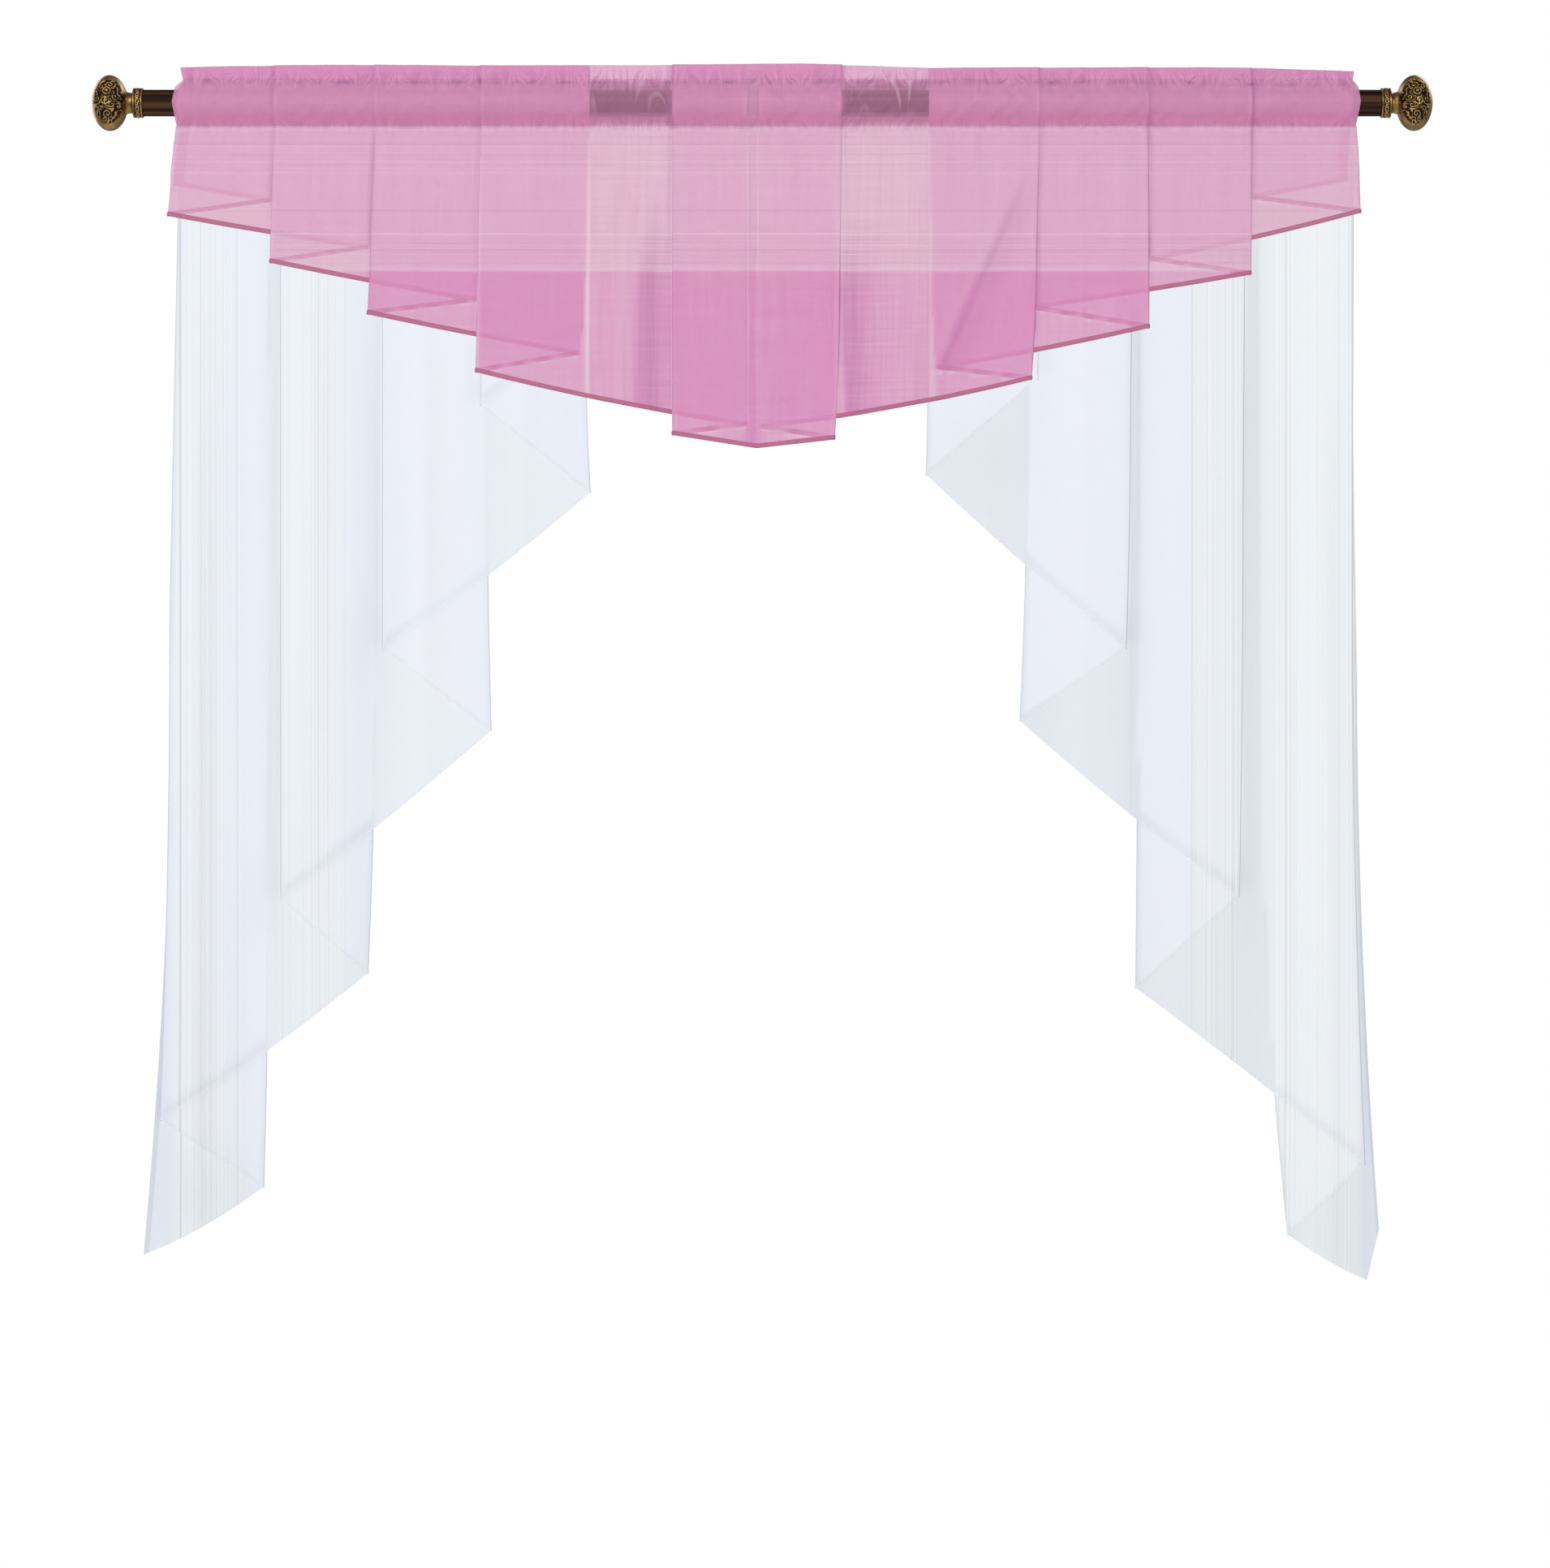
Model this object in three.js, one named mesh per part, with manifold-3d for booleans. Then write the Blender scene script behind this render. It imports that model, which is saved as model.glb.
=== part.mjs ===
// A cafe curtain on its rod: a pleated sheer valance with a rod pocket and a frilled heading,
// and two long pleated side falls that hang behind it, stepped shorter towards the middle.
// Millimetres, +Z up. The origin is on the rod's axis at mid-length, and the front faces -Y.

import * as THREE from 'three';
import { mergeVertices } from 'three/addons/utils/BufferGeometryUtils.js';
import Module from 'manifold-3d';

const wasm = await Module();
wasm.setup();

// Rod and finials
const ROD_DIAMETER = 25;
const ROD_SHOWN = 1159; // between the two collars
const ROD_SIDES = 24;
const FIT = 0.3; // clearance between pieces that touch on the real thing
const COLLAR = { length: 9, radius: 14, bore: 8, edge: 0.8 };
const NECK = { length: 5.3, radius: 9.6, shoulder: 10.6 };
const BALL = { length: 34, radius: 26, rings: 14 };
const FINIAL_SIDES = 28;

// Cloth
const SHEET = 1; // thickness
const SEAM_TOP = -23; // where the pleated skirts start, inside or behind the lower seam
const PRESSED = { gap: 2.4, bend: 0.8 }; // layer spacing and fold radius at the stitched top
const LOOSE = { gap: 5, bend: 1.5 }; // the same once the pleats hang free
const RELAX = 130; // drop over which the pleats open from pressed to loose
const TURN_STEPS = 4; // facets round a fold
const RUN_STEPS = 4; // panels between two folds

// Rod pocket and heading, by height above the rod's axis
const POCKET = { seam: 21.3, apex: 19.5, lowerEdge: -26.3, bends: [14, 6.5, 0, -6.5, -14] };
const POCKET_ENDS = { left: -551, right: 559, lead: 4 };
const POCKET_WALL = { plain: 0.9, perLayer: 0.3, back: 1, slant: 1.25 };
const HEADING = { thickness: 2.6, inset: 6 };
const HEADING_TOP = [
  { x: -551, top: 32.7 },
  { x: -500, top: 34.2 },
  { x: -400, top: 35.7 },
  { x: -250, top: 35 },
  { x: -80, top: 35.7 },
  { x: 34, top: 36.8 },
  { x: 90, top: 35.3 },
  { x: 155, top: 32.8 },
  { x: 400, top: 33.3 },
  { x: 470, top: 32.5 },
  { x: 559, top: 28.9 },
];

// Each fold or edge of a cloth, from its left edge to its right one: its place across the curtain at the
// seam (top), halfway down (mid) and at the hem (foot), the hem's drop below the rod, how far the hem sags
// on its way to the next row, and the layer it lies in. Folds left of the middle face outwards to the left
// in front, and those right of it to the right. An edge is where the cloth ends, and a flat row is no fold.
const VALANCE_FOLDS = [
  { top: -545, mid: -549, foot: -553, drop: 77, sag: 0, layer: 'back', edge: true },
  { top: -455, mid: -456, foot: -458, drop: 93, sag: 0, layer: 'back' },
  { top: -549, mid: -553, foot: -556, drop: 107, sag: 1, layer: 'front' },
  { top: -361, mid: -364, foot: -367, drop: 137, sag: 0, layer: 'back' },
  { top: -457, mid: -459, foot: -460, drop: 151, sag: 1, layer: 'front' },
  { top: -262, mid: -264, foot: -266, drop: 186, sag: 0, layer: 'back' },
  { top: -363, mid: -366, foot: -369, drop: 199, sag: 1, layer: 'front' },
  { top: -161, mid: -164, foot: -170, drop: 236, sag: 0, layer: 'back' },
  { top: -264, mid: -266, foot: -268, drop: 253, sag: 3, layer: 'front' },
  { top: -14, mid: -14, foot: -14, drop: 303, sag: 0, layer: 'back' },
  { top: -84, mid: -84, foot: -84, drop: 312, sag: 0, layer: 'front' },
  { top: -4, mid: -5, foot: -5, drop: 324, sag: 0, layer: 'front', flat: true },
  { top: 75, mid: 73, foot: 68, drop: 316, sag: 0, layer: 'front', right: true },
  { top: -3, mid: -3, foot: -3, drop: 305, sag: 4, layer: 'back', right: true },
  { top: 260, mid: 257, foot: 252, drop: 260, sag: 0, layer: 'front', right: true },
  { top: 156, mid: 158, foot: 161, drop: 249, sag: 2, layer: 'back', right: true },
  { top: 362, mid: 362, foot: 362, drop: 212, sag: 0, layer: 'front', right: true },
  { top: 257, mid: 254, foot: 250, drop: 193, sag: 1, layer: 'back', right: true },
  { top: 459, mid: 458, foot: 457, drop: 162, sag: 0, layer: 'front', right: true },
  { top: 359, mid: 360, foot: 361, drop: 148, sag: 2, layer: 'back', right: true },
  { top: 557, mid: 559, foot: 560, drop: 104, sag: 0, layer: 'front', right: true },
  { top: 456, mid: 456, foot: 456, drop: 90, sag: 0, layer: 'back', right: true },
  { top: 551, mid: 549, foot: 548, drop: 73, sag: 0, layer: 'back', right: true, edge: true },
];
const LEFT_FALL_FOLDS = [
  { top: -544, mid: -556, foot: -580, drop: 1079, sag: 5, layer: 'back', edge: true },
  { top: -462, mid: -462, foot: -468, drop: 1017, sag: 0, layer: 'back' },
  { top: -546, mid: -556, foot: -564, drop: 953, sag: 5, layer: 'front' },
  { top: -360, mid: -361, foot: -370, drop: 816, sag: 0, layer: 'back' },
  { top: -452, mid: -452, foot: -452, drop: 747, sag: 3, layer: 'front' },
  { top: -256, mid: -258, foot: -254, drop: 588, sag: 0, layer: 'back' },
  { top: -357, mid: -356, foot: -356, drop: 512, sag: 5, layer: 'front' },
  { top: -164, mid: -166, foot: -161, drop: 364, sag: 0, layer: 'back' },
  { top: -264, mid: -264, foot: -264, drop: 284, sag: 0, layer: 'front' },
  { top: -162, mid: -162, foot: -163, drop: 204, sag: 0, layer: 'front', edge: true },
];
const RIGHT_FALL_FOLDS = [
  { top: 155, mid: 155, foot: 155, drop: 200, sag: 0, layer: 'front', right: true, edge: true },
  { top: 260, mid: 260, foot: 259, drop: 259, sag: 0, layer: 'front', right: true },
  { top: 155, mid: 156, foot: 154, drop: 348, sag: 3, layer: 'back', right: true },
  { top: 350, mid: 346, foot: 342, drop: 511, sag: 0, layer: 'front', right: true },
  { top: 250, mid: 249, foot: 242, drop: 579, sag: 4, layer: 'back', right: true },
  { top: 454, mid: 451, foot: 448, drop: 744, sag: 0, layer: 'front', right: true },
  { top: 353, mid: 353, foot: 351, drop: 830, sag: -2, layer: 'back', right: true },
  { top: 555, mid: 554, foot: 566, drop: 995, sag: 0, layer: 'front', right: true },
  { top: 464, mid: 466, foot: 494, drop: 1062, sag: 3, layer: 'back', right: true },
  { top: 541, mid: 549, foot: 569, drop: 1104, sag: 0, layer: 'back', right: true, flat: true },
  { top: 551, mid: 559, foot: 580, drop: 1056, sag: 0, layer: 'back', right: true, edge: true },
];
const VALANCE_LEVELS = [0, 0.14, 0.36, 0.66, 1]; // shares of the drop where a cloth has a row of points
const FALL_LEVELS = [0, 0.06, 0.15, 0.3, 0.47, 0.65, 0.82, 1];
const SEAM_EASE = 0.4; // how far the lower seam stands outside the layers it holds
const FALL_CLEAR = { top: SEAM_EASE + FIT, below: 2.4 }; // room between the valance's back and the falls

// Slack in the cloth: upright troughs in the two single-layer stretches beside the middle pleat, and a
// slanting one across the right inner pleat. Each swells forwards.
const TROUGHS = [
  { topX: -118, footX: -108, from: -60, to: -330, width: 24, swell: 3.5 },
  { topX: 120, footX: 124, from: -60, to: -330, width: 26, swell: 3 },
  { topX: 241, footX: 176, from: -70, to: -262, width: 11, swell: 3 },
];
const SWAY = { amount: 7, pitch: 420, reach: 1100 }; // how far the free ends wander back and forth

const PINK_SHEER = new THREE.MeshStandardMaterial({ color: 0xd995bf, roughness: 0.85, metalness: 0 });
const WHITE_SHEER = new THREE.MeshStandardMaterial({ color: 0xedf1f8, roughness: 0.85, metalness: 0 });
const ROD_BRONZE = new THREE.MeshStandardMaterial({ color: 0x3a291e, roughness: 0.4, metalness: 0.8 });
const OLD_BRASS = new THREE.MeshStandardMaterial({ color: 0x8a6a2e, roughness: 0.45, metalness: 0.9 });

const lerp = THREE.MathUtils.lerp;

// Reads a column of a table at x, straight between its rows.
function readTable(table, x, column) {
  const next = table.findIndex((row) => row.x >= x);
  if (next <= 0) return table[next < 0 ? table.length - 1 : 0][column];
  const [a, b] = [table[next - 1], table[next]];
  return lerp(a[column], b[column], (x - a.x) / (b.x - a.x));
}

// How far the pleats have opened at a height, from 0 at the seam to 1.
function relaxed(z) {
  return THREE.MathUtils.smoothstep(SEAM_TOP - z, 0, RELAX);
}

const layerGap = (z) => lerp(PRESSED.gap, LOOSE.gap, relaxed(z));
const foldRadius = (z) => lerp(PRESSED.bend, LOOSE.bend, relaxed(z));

// Back and forth drift of all the cloth, which grows towards the free ends.
function sway(x, z) {
  const free = Math.max(0, SEAM_TOP - z) / SWAY.reach;
  const across = Math.sin((2 * Math.PI * (x + 0.35 * z)) / SWAY.pitch);
  return SWAY.amount * free * (across + 0.5 * Math.sin((2 * Math.PI * x) / (0.43 * SWAY.pitch)));
}

// Forward swell of the valance's slack stretches.
function troughs(x, z) {
  let swell = 0;
  for (const trough of TROUGHS) {
    const down = (trough.from - z) / (trough.from - trough.to);
    if (down <= 0) continue;
    const middle = lerp(trough.topX, trough.footX, Math.min(down, 1));
    const rise = THREE.MathUtils.smoothstep(down, 0, 0.35);
    swell += trough.swell * rise * Math.exp(-(((x - middle) / trough.width) ** 2));
  }
  return swell;
}

// Place of one fold at a share of the way down its cloth: straight from top to mid, then curving to foot.
function foldAt(row, share) {
  const upper = Math.min(1, 2 * share);
  const lower = Math.max(0, 2 * share - 1);
  const x = row.top + (row.mid - row.top) * upper + (row.foot - row.mid) * lower ** 2;
  const z = lerp(SEAM_TOP, -row.drop, share);
  const depth = row.layer === 'front' ? -2 * layerGap(z) : 0;
  return { x, y: depth, z };
}

// A fold's half circle, open towards the layers it joins. Its side is 1 where the cloth, followed from left
// to right, comes in behind and leaves in front, and its tip points left (-1) or right (1).
function foldShape(row, share) {
  const place = foldAt(row, share);
  const round = !row.edge && !row.flat;
  const side = row.right ? -1 : 1;
  const tip = (row.layer === 'front' ? -1 : 1) * side;
  return { ...place, side, tip, sag: row.sag, radius: round ? foldRadius(place.z) : 0 };
}

function turnPoint(fold, angle) {
  const centre = fold.x - fold.tip * fold.radius;
  return {
    x: centre + fold.tip * fold.radius * Math.cos(angle),
    y: fold.y + fold.side * fold.radius * Math.sin(angle),
    z: fold.z,
    across: [-fold.side * Math.cos(angle), -fold.tip * Math.sin(angle)],
  };
}

function runPoint(before, after, along, down = 0) {
  const start = turnPoint(before, -Math.PI / 2);
  const end = turnPoint(after, Math.PI / 2);
  const [dx, dy] = [end.x - start.x, end.y - start.y];
  const length = Math.hypot(dx, dy);
  const sag = 4 * before.sag * along * (1 - along) * down;
  return {
    x: lerp(start.x, end.x, along),
    y: lerp(start.y, end.y, along),
    z: lerp(start.z, end.z, along) - sag,
    across: [dy / length, -dx / length],
  };
}

// The columns of a pleated cloth, from its left edge to its right one: turns at its folds, runs between.
function clothColumns(folds) {
  const columns = [];
  folds.forEach((row, index) => {
    if (!row.edge && !row.flat) {
      for (let step = 0; step <= TURN_STEPS; step += 1) {
        const angle = Math.PI / 2 - (Math.PI * step) / TURN_STEPS;
        columns.push((share) => turnPoint(foldShape(row, share), angle));
      }
    }
    const after = folds[index + 1];
    if (!after) return;
    const first = row.edge || row.flat ? 0 : 1;
    const last = after.edge ? RUN_STEPS : RUN_STEPS - 1;
    for (let step = first; step <= last; step += 1) {
      const along = step / RUN_STEPS;
      columns.push((share) => runPoint(foldShape(row, share), foldShape(after, share), along, share));
    }
  });
  return columns;
}

// A pleated cloth as one closed sheet: a slab of panels whose points are laid along the folds.
function pleatedCloth(folds, levels, depthAt) {
  const columns = clothColumns(folds);
  const panels = columns.length - 1;
  const rows = levels.length - 1;
  const slab = new THREE.BoxGeometry(1, 1, 1, panels, rows, 1);
  const place = slab.attributes.position;
  for (let i = 0; i < place.count; i += 1) {
    const column = Math.round((place.getX(i) + 0.5) * panels);
    const row = Math.round((0.5 - place.getY(i)) * rows);
    const face = Math.sign(place.getZ(i)) * (SHEET / 2);
    const point = columns[column](levels[row]);
    const y = point.y + depthAt(point.x, point.z);
    place.setXYZ(i, point.x + point.across[0] * face, y + point.across[1] * face, point.z);
  }
  return welded(slab);
}

function welded(geometry) {
  geometry.deleteAttribute('normal');
  geometry.deleteAttribute('uv');
  return mergeVertices(geometry, 1e-3);
}

function toSolid(geometry) {
  return new wasm.Manifold(
    new wasm.Mesh({
      numProp: 3,
      vertProperties: new Float32Array(geometry.attributes.position.array),
      triVerts: new Uint32Array(geometry.index.array),
    }),
  );
}

function toGeometry(solid) {
  const mesh = solid.getMesh();
  const geometry = new THREE.BufferGeometry();
  geometry.setAttribute('position', new THREE.BufferAttribute(new Float32Array(mesh.vertProperties), 3));
  geometry.setIndex(new THREE.BufferAttribute(new Uint32Array(mesh.triVerts), 1));
  return geometry;
}

// Front of the pleated layers along the seam, at x.
function seamFront(x) {
  let front = Infinity;
  for (let i = 0; i + 1 < VALANCE_FOLDS.length; i += 1) {
    const before = foldShape(VALANCE_FOLDS[i], 0);
    const after = foldShape(VALANCE_FOLDS[i + 1], 0);
    const along = (x - before.x) / (after.x - before.x);
    if (along < 0 || along > 1) continue;
    front = Math.min(front, runPoint(before, after, along).y);
  }
  return front;
}

// Half depth of the rod's room in the pocket at a height: straight walls that lie against the rod.
const ROOM_RADIUS = ROD_DIAMETER / 2 + FIT + 0.1;
const ROOM_FLAT = POCKET.apex - Math.sqrt(POCKET.apex ** 2 - ROOM_RADIUS ** 2);
function roomDepth(z) {
  const rise = Math.max(0, Math.abs(z) - ROOM_FLAT);
  return ROOM_RADIUS * (1 - rise / (POCKET.apex - ROOM_FLAT));
}

// Outline of the pocket and heading across the rod at x, from the heading's top down the front and back up.
function pocketOutline(x) {
  const layers = -seamFront(x);
  const frontWall = POCKET_WALL.plain + POCKET_WALL.perLayer * layers;
  const seamFace = layers + SHEET / 2 + SEAM_EASE;
  const seamBack = PRESSED.bend + SHEET / 2 + SEAM_EASE;
  const top = readTable(HEADING_TOP, x, 'top');
  const half = HEADING.thickness / 2;
  const wallAt = (wall, z) => roomDepth(z) + wall * (z === 0 ? 1 : POCKET_WALL.slant);
  return [
    [-half, top],
    [-half - POCKET_WALL.perLayer * frontWall, POCKET.seam],
    ...POCKET.bends.map((z) => [-wallAt(frontWall, z), z]),
    [-seamFace, -POCKET.seam],
    [-seamFace, POCKET.lowerEdge],
    [seamBack, POCKET.lowerEdge],
    [seamBack, -POCKET.seam],
    ...POCKET.bends.map((z) => [wallAt(POCKET_WALL.back, -z), -z]),
    [half, POCKET.seam],
    [half, top],
  ];
}

// Where the pocket has a section: its ends, every fold, and both sides of each that shows in front.
function pocketStations() {
  const [first, last] = [POCKET_ENDS.left + POCKET_ENDS.lead, POCKET_ENDS.right - POCKET_ENDS.lead];
  const lip = PRESSED.bend;
  const folds = VALANCE_FOLDS.filter((row) => !row.flat && !row.edge);
  const places = folds.flatMap((row) => (row.layer === 'front' ? [row.top - lip, row.top + lip] : [row.top]));
  const inside = places.filter((x) => x > first && x < last).sort((a, b) => a - b);
  const apart = inside.filter((x, index) => index === 0 || x - inside[index - 1] > lip);
  return [POCKET_ENDS.left, ...apart, POCKET_ENDS.right];
}

// The pocket and heading: a drum whose sides are laid along the outline, with the rod's room cut through.
function pocketSolid() {
  const stations = pocketStations();
  const [first, last] = [POCKET_ENDS.left + POCKET_ENDS.lead, POCKET_ENDS.right - POCKET_ENDS.lead];
  const outlines = stations.map((x) => pocketOutline(THREE.MathUtils.clamp(x, first, last)));
  const count = outlines[0].length;
  const spans = stations.length - 1;
  const drum = welded(new THREE.CylinderGeometry(1, 1, 1, count, spans));
  const place = drum.attributes.position;
  for (let i = 0; i < place.count; i += 1) {
    const [px, py, pz] = [place.getX(i), place.getY(i), place.getZ(i)];
    const station = Math.round((py + 0.5) * spans);
    const end = station === 0 ? 1 : station === spans ? -1 : 0;
    if (Math.hypot(px, pz) < 0.5) {
      place.setXYZ(i, stations[station], 0, 0);
      continue;
    }
    const turn = Math.atan2(px, pz) / (2 * Math.PI);
    const [y, z] = outlines[station][((Math.round(turn * count) % count) + count) % count];
    const inset = z > POCKET.seam ? end * HEADING.inset : 0;
    place.setXYZ(i, stations[station] + inset, y, z);
  }
  const room = new THREE.Shape([
    new THREE.Vector2(0, POCKET.apex),
    new THREE.Vector2(-ROOM_RADIUS, ROOM_FLAT),
    new THREE.Vector2(-ROOM_RADIUS, -ROOM_FLAT),
    new THREE.Vector2(0, -POCKET.apex),
    new THREE.Vector2(ROOM_RADIUS, -ROOM_FLAT),
    new THREE.Vector2(ROOM_RADIUS, ROOM_FLAT),
  ]);
  const past = 10;
  const length = POCKET_ENDS.right - POCKET_ENDS.left + 2 * past;
  const bar = new THREE.ExtrudeGeometry(room, { depth: length, bevelEnabled: false });
  // The shape's x becomes depth, its y height, and its extrusion runs along the rod.
  const axes = new THREE.Matrix4().makeBasis(
    new THREE.Vector3(0, 1, 0),
    new THREE.Vector3(0, 0, 1),
    new THREE.Vector3(1, 0, 0),
  );
  bar.applyMatrix4(axes.setPosition(POCKET_ENDS.left - past, 0, 0));
  return toSolid(drum).subtract(toSolid(welded(bar)));
}

function valance() {
  const skirt = pleatedCloth(VALANCE_FOLDS, VALANCE_LEVELS, (x, z) => sway(x, z) - troughs(x, z));
  return new THREE.Mesh(toGeometry(pocketSolid().add(toSolid(skirt))), PINK_SHEER);
}

// A side fall hangs just behind the valance, its layers behind the seam at the top.
function sideFall(folds) {
  const depthAt = (x, z) => {
    const valanceBack = foldRadius(z) + SHEET / 2;
    const ownFront = 2 * layerGap(z) + foldRadius(z) + SHEET / 2;
    const room = lerp(FALL_CLEAR.top, FALL_CLEAR.below, relaxed(z));
    return valanceBack + room + ownFront + sway(x, z);
  };
  return new THREE.Mesh(pleatedCloth(folds, FALL_LEVELS, depthAt), WHITE_SHEER);
}

function rod() {
  const length = ROD_SHOWN + 2 * (COLLAR.bore - FIT);
  const bar = new THREE.CylinderGeometry(ROD_DIAMETER / 2, ROD_DIAMETER / 2, length, ROD_SIDES);
  return new THREE.Mesh(bar.rotateZ(Math.PI / 2), ROD_BRONZE);
}

// A finial turned about the rod's axis: a collar that cups the rod's end, a neck, and a flattened ball.
function finial() {
  const bore = ROD_DIAMETER / 2 + FIT;
  const ballStart = COLLAR.length + NECK.length;
  const middle = ballStart + BALL.length / 2;
  const points = [
    [0, COLLAR.bore],
    [bore, COLLAR.bore],
    [bore, 0],
    [COLLAR.radius - COLLAR.edge, 0],
    [COLLAR.radius, COLLAR.edge],
    [COLLAR.radius, COLLAR.length - COLLAR.edge],
    [COLLAR.radius - COLLAR.edge, COLLAR.length],
    [NECK.radius, COLLAR.length + NECK.length / 3],
    [NECK.radius, COLLAR.length + (2 * NECK.length) / 3],
  ];
  const start = Math.asin(NECK.shoulder / BALL.radius);
  for (let ring = 0; ring <= BALL.rings; ring += 1) {
    const angle = lerp(start, Math.PI, ring / BALL.rings);
    const radius = ring === BALL.rings ? 0 : BALL.radius * Math.sin(angle);
    points.push([radius, middle - (BALL.length / 2) * Math.cos(angle)]);
  }
  const profile = points.map(([radius, along]) => new THREE.Vector2(radius, along));
  return new THREE.Mesh(new THREE.LatheGeometry(profile, FINIAL_SIDES), OLD_BRASS);
}

function named(mesh, name) {
  mesh.name = name;
  return mesh;
}

const curtain = new THREE.Group();
curtain.add(named(rod(), 'rod'));
for (const [name, side] of [['finial_left', -1], ['finial_right', 1]]) {
  const end = named(finial(), name);
  end.position.x = (side * ROD_SHOWN) / 2;
  end.rotation.z = (-side * Math.PI) / 2;
  curtain.add(end);
}
curtain.add(named(valance(), 'valance'));
curtain.add(named(sideFall(LEFT_FALL_FOLDS), 'fall_left'));
curtain.add(named(sideFall(RIGHT_FALL_FOLDS), 'fall_right'));

export default curtain;
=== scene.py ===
"""Looks of a cafe curtain on its rod: a pleated pink sheer valance over two stepped white sheer falls.

Sizes in the tables are millimetres in the part's frame: x along the rod, z up from its axis, front at -y.
"""

import logging
import math
from dataclasses import dataclass, field, replace
from enum import Enum

import bmesh
import bpy
import numpy as np
from mathutils import Matrix, Vector
from mathutils.kdtree import KDTree


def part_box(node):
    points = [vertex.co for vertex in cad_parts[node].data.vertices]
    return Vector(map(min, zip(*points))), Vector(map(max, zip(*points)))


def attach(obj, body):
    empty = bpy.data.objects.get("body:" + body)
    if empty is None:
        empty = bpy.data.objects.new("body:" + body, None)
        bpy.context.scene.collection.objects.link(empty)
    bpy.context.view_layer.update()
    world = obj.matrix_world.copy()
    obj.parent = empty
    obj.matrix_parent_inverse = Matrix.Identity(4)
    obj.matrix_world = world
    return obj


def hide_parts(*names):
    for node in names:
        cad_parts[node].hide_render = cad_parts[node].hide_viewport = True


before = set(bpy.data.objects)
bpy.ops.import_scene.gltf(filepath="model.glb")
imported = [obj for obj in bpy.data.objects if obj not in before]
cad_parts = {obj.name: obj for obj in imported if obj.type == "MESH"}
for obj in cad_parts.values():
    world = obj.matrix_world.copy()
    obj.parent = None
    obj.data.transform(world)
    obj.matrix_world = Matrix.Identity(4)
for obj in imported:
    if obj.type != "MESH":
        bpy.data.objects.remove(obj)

log = logging.getLogger("cafe_curtain")

MM = 0.001
BODY = "root"
Colour = tuple[float, float, float, float]
Stop = tuple[float, Colour]
Amount = np.ndarray | float


def lerp(low: Amount, high: Amount, share: Amount) -> Amount:
    """Straight mix of two values, by a share from 0 to 1."""
    return low + (high - low) * share


def smoothstep(share: Amount) -> Amount:
    """Soft rise from 0 to 1 as the share goes from 0 to 1, level outside."""
    held = np.clip(share, 0.0, 1.0)
    return held * held * (3.0 - 2.0 * held)


def bell(share: Amount) -> Amount:
    """Soft bump: 1 where the share is 0, and gone where it passes 2 either way."""
    return np.exp(-(share**2))


class Unevenness:
    """Smooth repeatable noise over a plane, between -1 and 1."""

    def __init__(self, seed: int, cells: int = 61) -> None:
        """Draw the lattice of values.

        Args:
            seed: Start of the random draw.
            cells: Lattice points along each side, after which the noise repeats.
        """
        self.cells = cells
        self.values = np.random.default_rng(seed).uniform(-1.0, 1.0, (cells, cells))

    def at(self, across: Amount, along: Amount) -> np.ndarray:
        """Read the noise.

        Args:
            across: First coordinate, in lattice cells.
            along: Second coordinate, in lattice cells.

        Returns:
            The noise there.
        """
        across, along = np.broadcast_arrays(across, along)
        left = np.floor(across).astype(int)
        low = np.floor(along).astype(int)
        right_share = smoothstep(across - left)
        high_share = smoothstep(along - low)
        corner = [
            [self.values[(left + i) % self.cells, (low + j) % self.cells] for j in (0, 1)] for i in (0, 1)
        ]
        left_side = lerp(corner[0][0], corner[0][1], high_share)
        right_side = lerp(corner[1][0], corner[1][1], high_share)
        return lerp(left_side, right_side, right_share)


class Sock:
    """A shader socket that takes part in Python arithmetic."""

    def __init__(self, graph: "Graph", socket: bpy.types.NodeSocket | None) -> None:
        """Keep the socket and the graph that it belongs to."""
        self.graph = graph
        self.socket = socket

    def math(self, operation: str, *values: "Sock | float") -> "Sock":
        """Add one Math node on the given values."""
        return self.graph.node("ShaderNodeMath", {"operation": operation}, dict(enumerate(values)))

    def __add__(self, other: "Sock | float") -> "Sock":
        """Sum of two values."""
        return self.math("ADD", self, other)

    def __radd__(self, other: float) -> "Sock":
        """Sum of a number and this value."""
        return self.math("ADD", other, self)

    def __sub__(self, other: "Sock | float") -> "Sock":
        """Difference of two values."""
        return self.math("SUBTRACT", self, other)

    def __rsub__(self, other: float) -> "Sock":
        """A number less this value."""
        return self.math("SUBTRACT", other, self)

    def __mul__(self, other: "Sock | float") -> "Sock":
        """Product of two values."""
        return self.math("MULTIPLY", self, other)

    def __rmul__(self, other: float) -> "Sock":
        """Product of a number and this value."""
        return self.math("MULTIPLY", other, self)

    def __truediv__(self, other: "Sock | float") -> "Sock":
        """Quotient of two values."""
        return self.math("DIVIDE", self, other)

    def __rtruediv__(self, other: float) -> "Sock":
        """A number over this value."""
        return self.math("DIVIDE", other, self)

    def __abs__(self) -> "Sock":
        """Size of this value."""
        return self.math("ABSOLUTE", self)

    def least(self, other: "Sock | float") -> "Sock":
        """The smaller of two values."""
        return self.math("MINIMUM", self, other)

    def most(self, other: "Sock | float") -> "Sock":
        """The larger of two values."""
        return self.math("MAXIMUM", self, other)

    def sine(self) -> "Sock":
        """Sine of this value in radians."""
        return self.math("SINE", self)

    def rise(self, low: float, high: float) -> "Sock":
        """Soft step from 0 at low to 1 at high."""
        inputs = {"Value": self, "From Min": low, "From Max": high}
        return self.graph.node("ShaderNodeMapRange", {"interpolation_type": "SMOOTHSTEP"}, inputs)


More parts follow.
